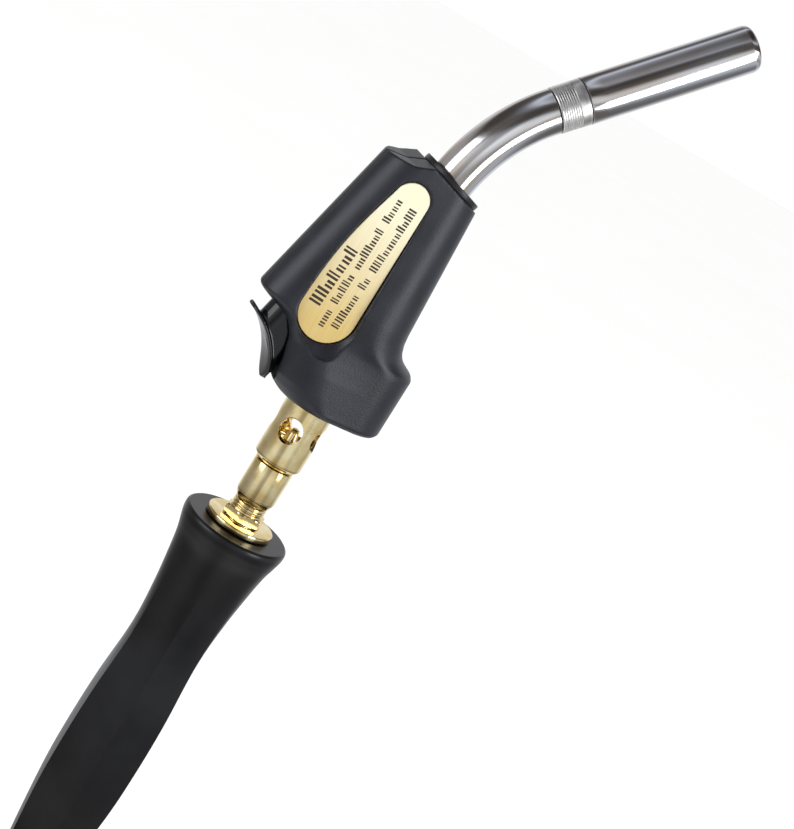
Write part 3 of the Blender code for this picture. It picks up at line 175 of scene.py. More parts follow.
def hexagonal(points, angle):
    """The smaller of r and f / cos(a'), for outline points (r, h, f) and a' from from_flat."""
    return np.minimum(points[:, :1], points[:, 2:] / np.cos(from_flat(angle)))


def cornered(outline, edge, pitch):
    """Rounds and fills an outline of (r, h), or (r, h, f) with f half the hexagon's width."""
    corners = np.array([(*point, NO_FLATS)[:3] for point in outline])
    return filled(rounded(corners, edge), pitch)


def turned(name, outline, look=None, place=None, steps=128, edge=0.15, pitch=4.0):
    """Each point of an outline in millimetres goes round Z, as a true circle or as a hexagon."""
    points = cornered(outline, edge, pitch)
    angle = full_turn(steps)
    return skin(name, around(hexagonal(points, angle), angle, points[:, 1:2]), look, place=place)


def leaning(x, z, degrees):
    """A frame at (x, 0, z) millimetres whose Z leans from +Z towards +X."""
    return Matrix.Translation((x * MM, 0, z * MM)) @ Matrix.Rotation(math.radians(degrees), 4, "Y")


def stands_for(piece, body, *names, slot=None):
    """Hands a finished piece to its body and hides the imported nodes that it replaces."""
    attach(piece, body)
    if names:
        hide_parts(*names)
    return piece


# %% [markdown]
# Some shapes are cut from others, as the air holes are drilled from the mixer. A cutter is made
# the same way as a piece, used once as a Boolean, and thrown away. A moulded shell has soft edges
# everywhere, and no bevel can follow edges as ragged as a Boolean leaves, so the shells are
# remeshed to even little squares and then relaxed, which rounds each edge by about one square.

# %% Cutting, joining and softening
def applied(piece):
    """Bakes the modifiers of a piece into its mesh."""
    graph = bpy.context.evaluated_depsgraph_get()
    mesh = bpy.data.meshes.new_from_object(piece.evaluated_get(graph))
    piece.modifiers.clear()
    old, piece.data = piece.data, mesh
    bpy.data.meshes.remove(old)
    return piece


def carve(piece, tools, operation="DIFFERENCE"):
    """Cuts or joins the tools one after another, then removes them."""
    for tool in tools:
        modifier = piece.modifiers.new(operation, "BOOLEAN")
        modifier.operation = operation
        modifier.object = tool
        modifier.solver = "EXACT"
        applied(piece)
        bpy.data.objects.remove(tool)
    piece.data.shade_smooth()
    piece.data.set_sharp_from_angle(angle=SMOOTH_ANGLE)
    return piece


def softened(piece, square, rounds):
    """Remeshes to squares of that side in metres and relaxes them that many times."""
    remesh = piece.modifiers.new("squares", "REMESH")
    remesh.mode = "VOXEL"
    remesh.voxel_size = square
    relax = piece.modifiers.new("relax", "SMOOTH")
    relax.factor = 0.5
    relax.iterations = rounds
    applied(piece)
    piece.data.shade_smooth()
    return piece


def prism(name, outline, low, high, place=None):
    """A flat outline in millimetres pushed along Z from low to high."""
    flat = np.array(outline, float)
    rows = [np.column_stack([flat, np.full(len(flat), height)]) for height in (low, high)]
    return skin(name, np.array(rows) * MM, along=False, place=place)


# %% [markdown]
# Colours are picked as sRGB hex values, the way a paint chart or a phone would give them. A shader
# works on linear light, so one function converts them. One more adds a shader node: its settings
# are properties, and its inputs are either numbers or the sockets that feed them.

# %% Colour and node helpers
def colour(code):
    """Linear RGBA from sRGB hex: c / 12.92 near black, ((c + 0.055) / 1.055) ^ 2.4 above."""
    value = np.array([int(code[i:i + 2], 16) for i in (1, 3, 5)]) / 255
    linear = np.where(value <= 0.04045, value / 12.92, ((value + 0.055) / 1.055) ** 2.4)
    return (*(float(part) for part in linear), 1.0)


def add(tree, kind, inputs=None, **settings):
    """Adds a node, sets its properties, and fills or links its inputs."""
    node = tree.nodes.new("ShaderNode" + kind)
    for key, value in settings.items():
        setattr(node, key, value)
    for key, value in (inputs or {}).items():
        if isinstance(value, bpy.types.NodeSocket):
            tree.links.new(value, node.inputs[key])
        else:
            node.inputs[key].default_value = value
    return node


def material(name, **numbers):
    """A material with a Principled shader; underscores in the numbers' names stand for spaces."""
    made = bpy.data.materials.new(name)
    made.use_nodes = True
    shader = made.node_tree.nodes["Principled BSDF"]
    for key, value in numbers.items():
        shader.inputs[key.replace("_", " ")].default_value = value
    return made, made.node_tree, shader


def two_tones(tree, shader, amount, dark, light, low=0.35, high=0.65):
    """Base colour that runs from dark to light as amount goes from low to high."""
    ramp = add(tree, "ValToRGB", {"Fac": amount})
    ramp.color_ramp.elements[0].position = low
    ramp.color_ramp.elements[0].color = colour(dark)
    ramp.color_ramp.elements[1].position = high
    ramp.color_ramp.elements[1].color = colour(light)
    tree.links.new(ramp.outputs["Color"], shader.inputs["Base Color"])


def rough_between(tree, shader, amount, low, high):
    """Roughness that runs from low to high with an amount between 0 and 1."""
    spread = add(tree, "MapRange", {"Value": amount, "To Min": low, "To Max": high})
    tree.links.new(spread.outputs["Result"], shader.inputs["Roughness"])


def bumped(tree, shader, height, depth):
    """Bump from a 0 to 1 height, where 1 stands depth metres proud."""
    bump = add(tree, "Bump", {"Height": height, "Distance": depth, "Strength": 1.0})
    tree.links.new(bump.outputs["Normal"], shader.inputs["Normal"])


def spots(tree, coordinates, size, detail=2.0, stretch=(1.0, 1.0, 1.0)):
    """Noise whose blotches are size metres across, longer along an axis with a small stretch."""
    mapping = add(tree, "Mapping", {"Vector": coordinates, "Scale": stretch})
    noise = add(tree, "TexNoise", {"Vector": mapping.outputs["Vector"], "Scale": 1.0 / size,
                                   "Detail": detail})
    return noise.outputs["Fac"]


# %% [markdown]
# Bright metals. Free-cutting brass is turned on a lathe and left bright, so it has fine rings
# round it and faint tarnish. The burn tube and barrel are drawn stainless tube, polished along
# their length, with a breath of straw and blue where the flame has warmed them. Metals keep the
# default IOR; their colour is the reflection's colour.

# %% Metals
LATHE_PITCH = 0.00035     # real lathe lines are finer; this is the finest that shows
DRAWN_WIDTH = 0.0005


def brass(name, ringed=True):
    """Bright turned brass: warm yellow, faint tarnish spots, rings round the lathe's axis."""
    made, tree, shader = material(name, Metallic=1.0)
    places = add(tree, "TexCoord").outputs
    tarnish = spots(tree, places["Object"], 0.005, 4.0)
    two_tones(tree, shader, tarnish, "#E8CC8A", "#FBEBB9")
    rough_between(tree, shader, tarnish, 0.10, 0.20)
    if ringed:
        rings = spots(tree, places["UV"], LATHE_PITCH, 1.0, (0.004, 1.0, 1.0))
        bumped(tree, shader, rings, 0.0000030)
    else:
        bumped(tree, shader, spots(tree, places["Object"], 0.0008), 0.000003)
    return made


def stainless(name):
    """Polished drawn tube: neutral grey, long fine lines, a breath of straw and blue."""
    made, tree, shader = material(name, Metallic=1.0)
    places = add(tree, "TexCoord").outputs
    warmth = spots(tree, places["UV"], 0.006, 3.0, (1.0, 0.12, 1.0))
    two_tones(tree, shader, warmth, "#B9AFA4", "#DADCE0", 0.38, 0.60)
    lines = spots(tree, places["UV"], DRAWN_WIDTH, 2.0, (1.0, 0.01, 1.0))
    rough_between(tree, shader, lines, 0.09, 0.16)
    bumped(tree, shader, lines, 0.0000010)
    return made


def brushed_rings(name):
    """Stainless left from the lathe: satin, with rings that catch light in a fan."""
    made, tree, shader = material(name, Metallic=1.0)
    places = add(tree, "TexCoord").outputs
    rings = spots(tree, places["UV"], LATHE_PITCH, 2.0, (0.01, 1.0, 1.0))
    two_tones(tree, shader, rings, "#C6C3C0", "#EDEBE8", 0.3, 0.7)
    rough_between(tree, shader, rings, 0.26, 0.42)
    bumped(tree, shader, rings, 0.000010)
    return made


def plain_metal(name, dark, light, low, high, size=0.002):
    """A small metal piece: mottled between two tones, with a little grain."""
    made, tree, shader = material(name, Metallic=1.0)
    mottle = spots(tree, add(tree, "TexCoord").outputs["Object"], size, 4.0)
    two_tones(tree, shader, mottle, dark, light)
    rough_between(tree, shader, mottle, low, high)
    bumped(tree, shader, mottle, 0.000004)
    return made


BRASS = brass("turned_brass")
BRASS_PLAIN = brass("bright_brass", ringed=False)
STAINLESS = stainless("polished_stainless_tube")
UNION_STEEL = brushed_rings("lathe_finished_stainless")
ZINC = plain_metal("zinc_plated_steel", "#8E9094", "#C4C8CE", 0.22, 0.38)
BRONZE = plain_metal("sintered_bronze", "#5E3F22", "#9A6C3C", 0.6, 0.85, 0.0004)

# %% [markdown]
# The plastics. The grip is a moulded thermoset with a dull gloss. The lighter housing is a
# heat-resistant nylon with a spark-eroded grain, a blue-black that looks slate where it turns to
# the light. The trigger is the same nylon from a polished mould, so it is glossy black.

# %% Plastics, rubber and ceramic
def moulded(name, dark, light, low, high, grain, depth, level=0.5):
    """Moulded plastic: two close tones, uneven gloss, and grain of that size and depth."""
    made, tree, shader = material(name, Specular_IOR_Level=level)
    place = add(tree, "TexCoord").outputs["Object"]
    cloud = spots(tree, place, 0.011, 3.0)
    two_tones(tree, shader, cloud, dark, light)
    rough_between(tree, shader, cloud, low, high)
    bumped(tree, shader, spots(tree, place, grain, 2.0), depth)
    return made


GRIP_BLACK = moulded("moulded_phenolic_grip", "#08080A", "#0E0E10", 0.26, 0.36, 0.0007,
                     0.000006, 0.4)
SHELL_NYLON = moulded("grained_heat_resistant_nylon", "#111219", "#1B1D26", 0.34, 0.46,
                      0.00045, 0.000045)
TRIGGER_NYLON = moulded("gloss_black_nylon", "#08080A", "#0B0B0D", 0.12, 0.20, 0.0012, 0.000004)
COLLAR_BLACK = moulded("black_heat_collar", "#0B0B0C", "#121214", 0.3, 0.42, 0.0006, 0.00001)
PIEZO_CASE = moulded("grey_piezo_case", "#2B2D30", "#36393D", 0.4, 0.55, 0.0005, 0.00001)
RUBBER = moulded("black_nitrile_rubber", "#0A0A0A", "#101010", 0.6, 0.75, 0.0003, 0.00001, 0.35)
CERAMIC = moulded("white_alumina", "#D9D4C6", "#E8E4DA", 0.25, 0.4, 0.0004, 0.000004)
RED_SILICONE = moulded("red_silicone_lead", "#8E1611", "#A31C15", 0.4, 0.5, 0.0004, 0.000006)
FIBRE = moulded("red_vulcanised_fibre", "#6A1F18", "#7C2A20", 0.6, 0.8, 0.0003, 0.00002)

# %% [markdown]
# The plate on the housing is thin aluminium, brushed along its length, anodised pale gold and
# printed with dark brown ink. Anodising is a clear film on metal, so a coat does well for it.

# %% Label finishes
# Between these heights the plate's colour is painted paler upwards: a painted highlight for light on
# its top.
PAINTED_HIGHLIGHT_FROM, PAINTED_HIGHLIGHT_TO = 0.128, 0.172        # metres above the middle of the grip
BRUSH_SHARE = 0.35


def gold_plate(name):
    """Anodised gold aluminium, brushed up the plate; its colour is painted paler towards the top, a
    painted highlight.
    """
    made, tree, shader = material(name, Metallic=0.4, Coat_Weight=0.3, Coat_Roughness=0.2)
    place = add(tree, "TexCoord").outputs["Object"]
    brush = spots(tree, place, 0.0004, 3.0, (1.0, 1.0, 0.02))
    height = add(tree, "SeparateXYZ", {"Vector": place}).outputs["Z"]
    # Painted highlight: the colour grows paler with height, standing in for light falling on the
    # plate's top.
    painted_highlight_rise = add(tree, "MapRange", {"Value": height, "From Min": PAINTED_HIGHLIGHT_FROM, "From Max": PAINTED_HIGHLIGHT_TO})
    uneven = add(tree, "Math", {0: brush, 1: BRUSH_SHARE, 2: painted_highlight_rise.outputs["Result"]},
                 operation="MULTIPLY_ADD")
    two_tones(tree, shader, uneven.outputs["Value"], "#D3B468", "#F1EACA", 0.10, 1.25)
    rough_between(tree, shader, brush, 0.32, 0.44)
    bumped(tree, shader, brush, 0.000003)
    return made


GOLD = gold_plate("gold_anodised_aluminium")
INK = moulded("dark_brown_print", "#2A1C12", "#38271A", 0.45, 0.55, 0.0006, 0.000002)
print("finishes made:", len(bpy.data.materials))

# %% [markdown]
# The grip is one moulding. Its top is a trumpet with a flat face, the waist is round, and the palm
# swells into six soft flats that meet in creases. A smooth line is drawn through a few measured
# radii, and each radius carries a share: 0 keeps the ring round, 1 makes it a true hexagon.

# %% Grip
# Radius, height, share of the hexagon.
GRIP_LINE = [(15.4, 62.0, 0), (16.1, 61.3, 0), (16.1, 59.4, 0), (15.5, 56.8, 0), (14.4, 52.5, 0),
             (13.4, 46.0, 0), (12.0, 34.0, 0.2), (11.2, 20.0, 0.5), (11.9, 0.0, 0.8),
             (12.2, -18.0, 0.8), (11.8, -34.0, 0.8), (10.3, -53.5, 0.7), (9.4, -61.0, 0.4),
             (8.6, -62.0, 0.3)]
GRIP_BORE = [(4.3, -62.0, 0), (4.3, 47.6, 0), (5.0, 47.6, 0), (5.0, 61.7, 0), (5.3, 62.0, 0)]
CREASE = math.radians(-107)


def smooth_line(points, each):
    """Catmull-Rom: between b and c the curve leaves along c - a and arrives along d - b."""
    b, c = points[:-1], points[1:]
    a = np.vstack([2 * b[:1] - c[:1], points[:-2]])
    d = np.vstack([points[2:], 2 * c[-1:] - b[-1:]])
    t = (np.arange(each) / each)[None, :, None]
    a, b, c, d = (part[:, None] for part in (a, b, c, d))
    curve = b + t * (c - a) / 2 + t ** 2 * (2 * a - 5 * b + 4 * c - d) / 2
    curve = curve + t ** 3 * (3 * (b - c) + d - a) / 2
    return np.vstack([curve.reshape(-1, points.shape[1]), points[-1:]])


def make_grip(steps=180):
    """r = apothem x ((1 - share) + share / cos a'), a' the angle from the nearest flat's middle."""
    line = smooth_line(np.array(GRIP_LINE, float), 9)
    line = filled(np.vstack([line, np.array(GRIP_BORE, float)]), 6.0)
    angle = full_turn(steps)
    radius = line[:, :1] * ((1 - line[:, 2:]) + line[:, 2:] / np.cos(from_flat(angle)))
    return skin("torch_grip", around(radius, angle + CREASE, line[:, 1:2]), GRIP_BLACK)


stands_for(make_grip(), "handle", "grip", slot="grip_plastic")
ring = turned("grip_ferrule", [(4.3, -62.3), (9.8, -62.3), (9.8, -65.3), (4.3, -65.3)], BRASS,
              edge=0.5)
stands_for(ring, "handle", "grip_end_ring", slot="brass")

# %% [markdown]
# Up from the grip everything is brass: a flange washer, a hexagon fitting with a grooved neck,
# and the connector that swivels in it on an O-ring. A hexagon with turned chamfers is a bar cut
# by a cone, so the smaller of the two radii is taken at every angle.

# %% Washer, hexagon fitting and swivel connector
washer = turned("brass_flange_washer", [(5.0, 64.1), (10.3, 64.1), (10.3, 62.3), (5.0, 62.3)],
                BRASS, edge=0.45)
stands_for(washer, "handle", "flange_washer", slot="brass")

FLATS = 5.5
FITTING = [(3.8, 70.0), (4.85, 70.0), (5.05, 69.6), (5.05, 69.4), (4.72, 69.1), (5.05, 68.8),
           (5.05, 68.2), (4.72, 67.9), (5.05, 67.6), (5.05, 67.1), (5.6, 67.1, FLATS),
           (6.42, 66.6, FLATS), (6.42, 64.7, FLATS), (5.6, 64.4, FLATS), (4.7, 64.4), (4.7, 47.9),
           (2.7, 47.9), (2.7, 41.9), (1.5, 41.9), (1.5, 54.4), (3.8, 54.4), (3.8, 67.4),
           (4.2, 67.4), (4.2, 68.8), (3.8, 68.8)]
fitting = turned("hexagon_outlet_fitting", FITTING, BRASS, steps=192, edge=0.12)
stands_for(fitting, "handle", "outlet_fitting", slot="brass")

CONNECTOR = [(3.1, 89.7), (4.5, 89.7), (4.5, 82.9), (5.95, 82.9), (5.95, 72.3), (5.05, 70.3),
             (3.5, 70.3), (3.5, 68.8), (2.8, 68.8), (2.8, 67.4), (3.5, 67.4), (3.5, 61.1),
             (2.2, 61.1), (2.2, 59.5), (3.5, 59.5), (3.5, 54.8), (1.3, 54.8), (1.3, 82.6),
             (2.3, 82.6), (2.3, 86.2), (3.1, 86.2)]
connector = turned("brass_swivel_connector", CONNECTOR, BRASS, edge=0.35)
stands_for(connector, "head", "swivel_connector", slot="brass")

# %% [markdown]
# The mixer draws in air through four round holes with wide countersinks. It is turned first, with
# rows well under 1.2 mm apart, because a drilled edge shades well only when the faces that
# it cuts are small. Then four turned drills are taken out of it.

# %% Mixer body with its air holes
MIXER = [(6.65, 122.3), (8.35, 122.3), (8.35, 106.6), (7.15, 106.6), (7.15, 84.6), (5.75, 83.2),
         (4.8, 83.2), (4.8, 90.0), (5.6, 90.6), (5.6, 100.5), (3.2, 106.5), (5.45, 109.5),
         (5.45, 110.0), (6.65, 110.0)]
AIR_DRILL = [(0, 9.15), (4.9, 9.15), (3.5, 6.15), (3.5, 4.4), (0, 4.4)]
AIR_HEIGHT = 95.4
FIRST_AIR_HOLE = -125

mixer = turned("brass_mixer_body", MIXER, BRASS, steps=144, edge=0.3, pitch=0.6)
drills = []
for quarter in range(4):
    facing = Matrix.Rotation(math.radians(FIRST_AIR_HOLE + 90 * quarter), 4, "Z")
    sideways = Matrix.Rotation(math.pi / 2, 4, "Y")
    place = Matrix.Translation((0, 0, AIR_HEIGHT * MM)) @ facing @ sideways
    drills.append(turned(f"air_drill_{quarter + 1}", AIR_DRILL, None, place, 96, 0.2))
stands_for(carve(mixer, drills), "head", "mixer_body", slot="brass")
print("mixer:", len(mixer.data.polygons), "faces after drilling")

# %% [markdown]
# The gas jet shows a little through the air holes. It is a small brass hexagon with a cone on it
# and a fine hole through it, turned from one outline as the hexagon fitting is.

# %% Gas jet
JET = [(0.35, 95.0), (0.96, 95.0), (1.6, 93.8), (2.2, 91.2), (2.89, 91.0, 2.5), (2.89, 90.0, 2.5),
       (2.6, 90.0), (2.6, 86.5), (1.4, 86.5), (1.4, 88.7), (0.35, 89.1)]
jet = turned("brass_gas_jet", JET, BRASS, steps=96, edge=0.1)
stands_for(jet, "head", "gas_jet", slot="brass")

# %% [markdown]
# The burn tube is straight through the housing, then bends on a fixed radius. A circle is carried
# along that line and stays square to it; the wall's inner skin comes back the other way, so the
# grid closes on itself like a long ring.

# %% Burn tube
BEND_FOOT, BEND_RADIUS, BEND_DEGREES = 169.0, 54.0, 44.5
BEND_ANGLE = math.radians(BEND_DEGREES)
TUBE_FOOT, TUBE_R, TUBE_BORE = 110.3, 6.35, 5.45
LIP = 0.15


def carried(along, radius, steps=128):
    """Centre (R - R cos a, R sin a) on the bend, and a ring of that radius square to it."""
    angle = np.clip(along / BEND_RADIUS, 0, BEND_ANGLE)
    x = BEND_RADIUS * (1 - np.cos(angle))
    z = BEND_FOOT + BEND_RADIUS * np.sin(angle) + np.minimum(along, 0)
    turn = full_turn(steps)
    out, side = radius[:, None] * np.cos(turn), radius[:, None] * np.sin(turn)
    return np.stack([x[:, None] + out * np.cos(angle)[:, None], side,
                     z[:, None] - out * np.sin(angle)[:, None]], -1)


def make_burn_tube():
    """Outer skin up, a small rounded lip, inner skin down."""
    top = BEND_RADIUS * BEND_ANGLE
    foot = TUBE_FOOT - BEND_FOOT
    up = np.concatenate([[foot], np.linspace(foot + LIP, 0, 20)[:-1],
                         np.linspace(0, top - LIP, 60), [top]])
    outer = np.full(len(up), TUBE_R)
    outer[[0, -1]] -= LIP
    down = up[::-1]
    rows = np.vstack([carried(up, outer), carried(down, np.full(len(down), TUBE_BORE))])
    return skin("bent_burn_tube", rows * MM, STAINLESS)


stands_for(make_burn_tube(), "head", "burn_tube", slot="steel")

# %% [markdown]
# At the end of the bend a ribbed union joins the tube to the straight burner barrel. The ribs are
# a thread's crests left showing; they are real geometry, two thirds of a millimetre apart.

# %% Union and burner barrel
BURNER = leaning(BEND_RADIUS * (1 - math.cos(BEND_ANGLE)),
                 BEND_FOOT + BEND_RADIUS * math.sin(BEND_ANGLE), BEND_DEGREES)
RIB_PITCH, RIB_COUNT, RIB_DEPTH = 0.66, 8, 0.13
UNION_R, FIRST_RIB = 6.55, 0.7

union = [(3.95, -2.2), (5.15, -2.2), (5.15, 0.3), (6.4, 0.3)]
for rib in range(RIB_COUNT):
    union += [(UNION_R, FIRST_RIB + rib * RIB_PITCH),
              (UNION_R - RIB_DEPTH, FIRST_RIB + (rib + 0.5) * RIB_PITCH)]
union += [(UNION_R, FIRST_RIB + RIB_COUNT * RIB_PITCH), (UNION_R, 8.8), (5.35, 8.8),
          (5.35, 13.8), (3.95, 13.8)]
coupling = turned("ribbed_burner_union", union, UNION_STEEL, BURNER, edge=0.12)
stands_for(coupling, "head", "burner_union", slot="brushed_steel")

BARREL = [(5.65, 9.1), (6.65, 9.1), (6.65, 57.2), (6.4, 58.4), (5.95, 58.9), (5.65, 58.9)]
barrel = turned("burner_barrel_tube", BARREL, STAINLESS, BURNER, steps=144, edge=0.3)
stands_for(barrel, "head", "burner_barrel", slot="steel")

# %% [markdown]
# The housing is the hardest shape: level outlines that each wrap two circles, one round the burn
# tube and one round the lighter's bulge. Towards the foot the left circle runs in under the bulge
# and so carves the scoop for the thumb. Circles and heights are listed, everything between them
# is interpolated, and the outline is arcs and their common tangents.

# %% Housing form
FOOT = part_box("housing_near_shell")[0].z / MM
# Each station: height above the foot, the left circle's x and radius, the right circle's.
SHELL_STATIONS = np.array([
    (0.0, 0.6, 12.6, 8.2, 12.1), (1.1, -0.6, 13.3, 8.2, 12.8), (2.8, -2.6, 13.3, 8.2, 12.8),
    (5.5, -4.3, 13.3, 8.2, 12.8), (11.3, -6.0, 13.2, 8.2, 12.8), (15.8, -7.9, 12.6, 8.2, 12.8),
    (18.8, -10.8, 11.8, 8.2, 12.8), (20.2, -13.0, 11.2, 7.2, 12.8), (21.6, -16.0, 10.5, 4.6, 12.8),
    (22.7, -19.3, 9.8, 3.0, 12.8), (23.7, -22.0, 9.2, 2.1, 12.8), (24.7, -22.96, 9.0, 1.4, 12.8),
    (27.5, -22.28, 9.0, 0.4, 12.8), (30.5, -21.55, 9.0, 0.0, 12.8), (68.5, -12.36, 9.0, 0.0, 10.6),
    (80.0, -9.58, 9.0, 0.0, 9.93)])


def two_circles(left_x, left_r, right_x, right_r, count=36, side=10):
    """Arcs round both circles; tangents leave at the angle whose cosine is (l - r) / distance."""
    lean = np.arccos((left_r - right_r) / (right_x - left_x))
    s = np.linspace(0, 1, count)
    turn = -lean + 2 * lean * s
    right = np.stack([right_x + right_r * np.cos(turn), right_r * np.sin(turn)], -1)
    turn = lean + (2 * math.pi - 2 * lean) * s
    left = np.stack([left_x + left_r * np.cos(turn), left_r * np.sin(turn)], -1)
    t = (np.arange(1, side) / side)[:, None]
    there = right[..., -1:, :] * (1 - t) + left[..., :1, :] * t
    back = left[..., -1:, :] * (1 - t) + right[..., :1, :] * t
    return np.concatenate([right, there, left, back], axis=-2)


def housing_form(name):
    """The solid form of both shells, before anything is cut from it."""
    height = np.concatenate([np.linspace(0, 1.1, 4)[:-1], np.linspace(1.1, 32, 64)[:-1],
                             np.linspace(32, 80, 40)])
    flat = two_circles(*(np.interp(height, SHELL_STATIONS[:, 0], column)[:, None]
                         for column in SHELL_STATIONS.T[1:]))
    level = np.broadcast_to((FOOT + height)[:, None, None], (*flat.shape[:2], 1))
    return skin(name, np.concatenate([flat, level], -1) * MM, along=False)


# %% [markdown]
# The roof slopes down from a ridge towards the burn tube and dips behind it. Inside there is a
# turned hollow for the mixer and the tube, a slanted one for the lighter, a way between them for
# the wiring, and the slot that the trigger slides in.

# %% Tools that cut the shells
UPRIGHT = Matrix.Translation((0, 0, FOOT * MM)) @ Matrix.Rotation(math.pi / 2, 4, "X")
LIGHTER = leaning(-22.4, FOOT + 27.0, 13.6)
ROOF = [(-40, 65.9), (-20.25, 72.3), (-14.3, 72.9), (-9.2, 74.9), (40, 59.39), (40, 95), (-40, 95)]
TUBE_HOLLOW = [(0, 194), (7.35, 194), (7.35, 170), (8.0, 168), (8.0, 124.2), (6.65, 124.2),
               (6.65, 122.6), (8.95, 122.6), (8.95, 106), (7.45, 106), (7.45, 102), (0, 102)]
LIGHTER_HOLLOW = [(0, 41), (6.2, 41), (6.2, -1), (0, -1)]
WIRING = [(-15.2, -5.6), (-3.8, -5.6), (-3.8, 5.6), (-15.2, 5.6)]
SCREW_HOLE = [(0, 30), (2.7, 30), (2.7, 6.2), (1.6, 6.2), (1.6, -6.8), (0, -6.8)]
FIXING = Matrix.Rotation(-math.pi / 2, 4, "X")
SEAM = 0.15               # half the gap between the two shells
SLOT_ENDS, SLOT_ROOF = (2.0, 5.2, 8.8, 5.2), 8.6


def screw_frame(index):
    """A screw's own frame: its Z runs along +Y from the middle of the housing."""
    low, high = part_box(f"housing_screw_{index}")
    return Matrix.Translation(((low.x + high.x) / 2, 0, (low.z + high.z) / 2)) @ FIXING


def shell_tools(side):
    """Half space first, because it halves the work of every cut that follows."""
    low, high = (-40, SEAM) if side == "near" else (-SEAM, 40)
    half = [(-60, -20), (60, -20), (60, 100), (-60, 100)]
    slot = two_circles(*SLOT_ENDS, 12, 4)
    tools = [prism("half_space", half, low, high, UPRIGHT),
             prism("roof_tool", ROOF, -30, 30, UPRIGHT),
             turned("tube_hollow", TUBE_HOLLOW, steps=72, edge=0.05),
             turned("lighter_hollow", LIGHTER_HOLLOW, None, LIGHTER, 64, 0.05),
             prism("wiring_way", WIRING, FOOT + 56.5, FOOT + 64),
             prism("trigger_slot", slot, -40, SLOT_ROOF, LIGHTER)]
    tools += [turned(f"screw_hole_{i}", SCREW_HOLE, None, screw_frame(i), 32, 0.05)
              for i in (1, 2, 3)]
    return tools


# %% [markdown]
# The label sits in a pocket shaped like a drop: two round ends, a straight side and a bowed one.
# Below its low end the pocket runs out in a ramp, which shows as a dark crescent. The same outline
# function serves the plate, the pocket and the ramp.

# %% Label outline and its pocket
LABEL_PLACE = (Matrix.Translation((0, 0, FOOT * MM)) @ Matrix.Rotation(math.radians(-10), 4, "Z")
               @ Matrix.Rotation(math.pi / 2, 4, "X"))
LOW_END, LOW_R = np.array([-12.3, 26.7]), 8.3
HIGH_END, HIGH_R = np.array([-8.9, 64.3]), 5.0
BOW, PLATE_FACE, PLATE_THICK, PLATE_GAP = 1.5, 11.0, 0.6, 0.3
RAMP = np.array([1.9, -3.4])


def drop_outline(grow=0.0, slide=0.0):
    """Two circles and their tangents; one side bows out as a half sine, the low end slides away."""
    axis = HIGH_END - LOW_END
    reach = np.linalg.norm(axis)
    flat = two_circles(0.0, LOW_R + grow, reach, HIGH_R + grow, 40, 24)
    share = np.clip(flat[:, 0] / reach, 0, 1)
    flat[:, 1] += np.where(flat[:, 1] > 0, BOW * np.sin(math.pi * share) * (flat[:, 1] > 4), 0)
    turn = math.atan2(axis[1], axis[0])
    spin = np.array([[math.cos(turn), -math.sin(turn)], [math.sin(turn), math.cos(turn)]])
    place = LOW_END + flat @ spin.T
    away = place - LOW_END
    facing = np.clip(away @ RAMP / np.linalg.norm(RAMP) / np.linalg.norm(away, axis=1), 0, 1)
    return place + RAMP * slide * (facing * (1 - share))[:, None]


def stacked(name, look, levels):
    """Drop outlines at heights above the plate's plane, joined into one closed piece."""
    rows = [np.column_stack([drop_outline(grow, slide), np.full(len(drop_outline()), height)])
            for height, grow, slide in levels]
    return skin(name, np.array(rows) * MM, look, along=False, place=LABEL_PLACE)


def label_pocket():
    """A flat floor, a short straight wall, then the ramp."""
    return stacked("label_pocket", None, [(height, PLATE_GAP, slide) for height, slide in
                                          ((10.1, 0), (11.3, 0), (13.5, 1), (18, 1))])


# %% [markdown]
# The two shells are moulded apart and meet on a seam round the middle. Both start as the whole
# form, and the first cut leaves one half. Only the near one has the label's pocket.

# %% Near and far shells
SQUARE = 0.00034          # metres, about the radius of a moulded edge
RELAX = 4
for side in ("near", "far"):
    shell = housing_form(f"housing_{side}_half")
    tools = shell_tools(side) + ([label_pocket()] if side == "near" else [])
    softened(carve(shell, tools), SQUARE, RELAX)
    shell.data.materials.clear()
    shell.data.materials.append(SHELL_NYLON)
    stands_for(shell, "head", f"housing_{side}_shell", slot="housing_plastic")
    print(shell.name, len(shell.data.polygons), "squares")

# %% [markdown]
# The plate itself has a tiny bevel round its face, which draws the bright line at its edge. The
# print on it is a generic stand-in for a notice: one bold row and two longer rows of plain strokes
# that read as lines of type from a distance and spell nothing from nearby.

# %% Label plate and its printed strokes
PLATE_EDGE = 0.15
plate = stacked("gold_label_plate", GOLD, [(PLATE_FACE - PLATE_THICK, 0, 0),
                                           (PLATE_FACE - PLATE_EDGE, 0, 0),
                                           (PLATE_FACE, -PLATE_EDGE, 0)])
stands_for(plate, "head", "label_plate", slot="gold_plate")

# Each row: where it starts and stops on the plate, type height, pitch, strokes in each word.
PRINT_ROWS = [((-16.6, 27.6), (-15.2, 46.6), 2.9, 2.7, (7,)),
              ((-12.4, 22.8), (-11.5, 62.8), 1.9, 1.85, (3, 5, 7, 4)),
              ((-8.5, 24.2), (-6.7, 62.8), 1.9, 1.85, (6, 2, 11))]
INK_FILM, INK_SUNK = 0.03, 0.01
chance = np.random.default_rng(7)


def strokes(start, stop, tall, pitch, words):
    """Boxes set along a line: word by word, each stroke a share of the pitch wide."""
    start, stop = np.array(start), np.array(stop)
    along = (stop - start) / np.linalg.norm(stop - start)
    up = np.array([-along[1], along[0]])
    spaces = np.concatenate([np.full(n, w) for w, n in enumerate(words)])
    places = (np.arange(len(spaces)) + spaces) * pitch
    parts = []
    for place in places:
        high = tall * chance.choice([0.8, 0.8, 1.25])
        for share, wide in ((0.0, 0.26), (0.44, chance.choice([0.2, 0.3]))):
            a = start + along * (place + share * pitch)
            b = a + along * wide * pitch
            foot = up * tall * -0.4
            parts.append([a + foot, b + foot, b + foot + up * high, a + foot + up * high])
    return np.array(parts)


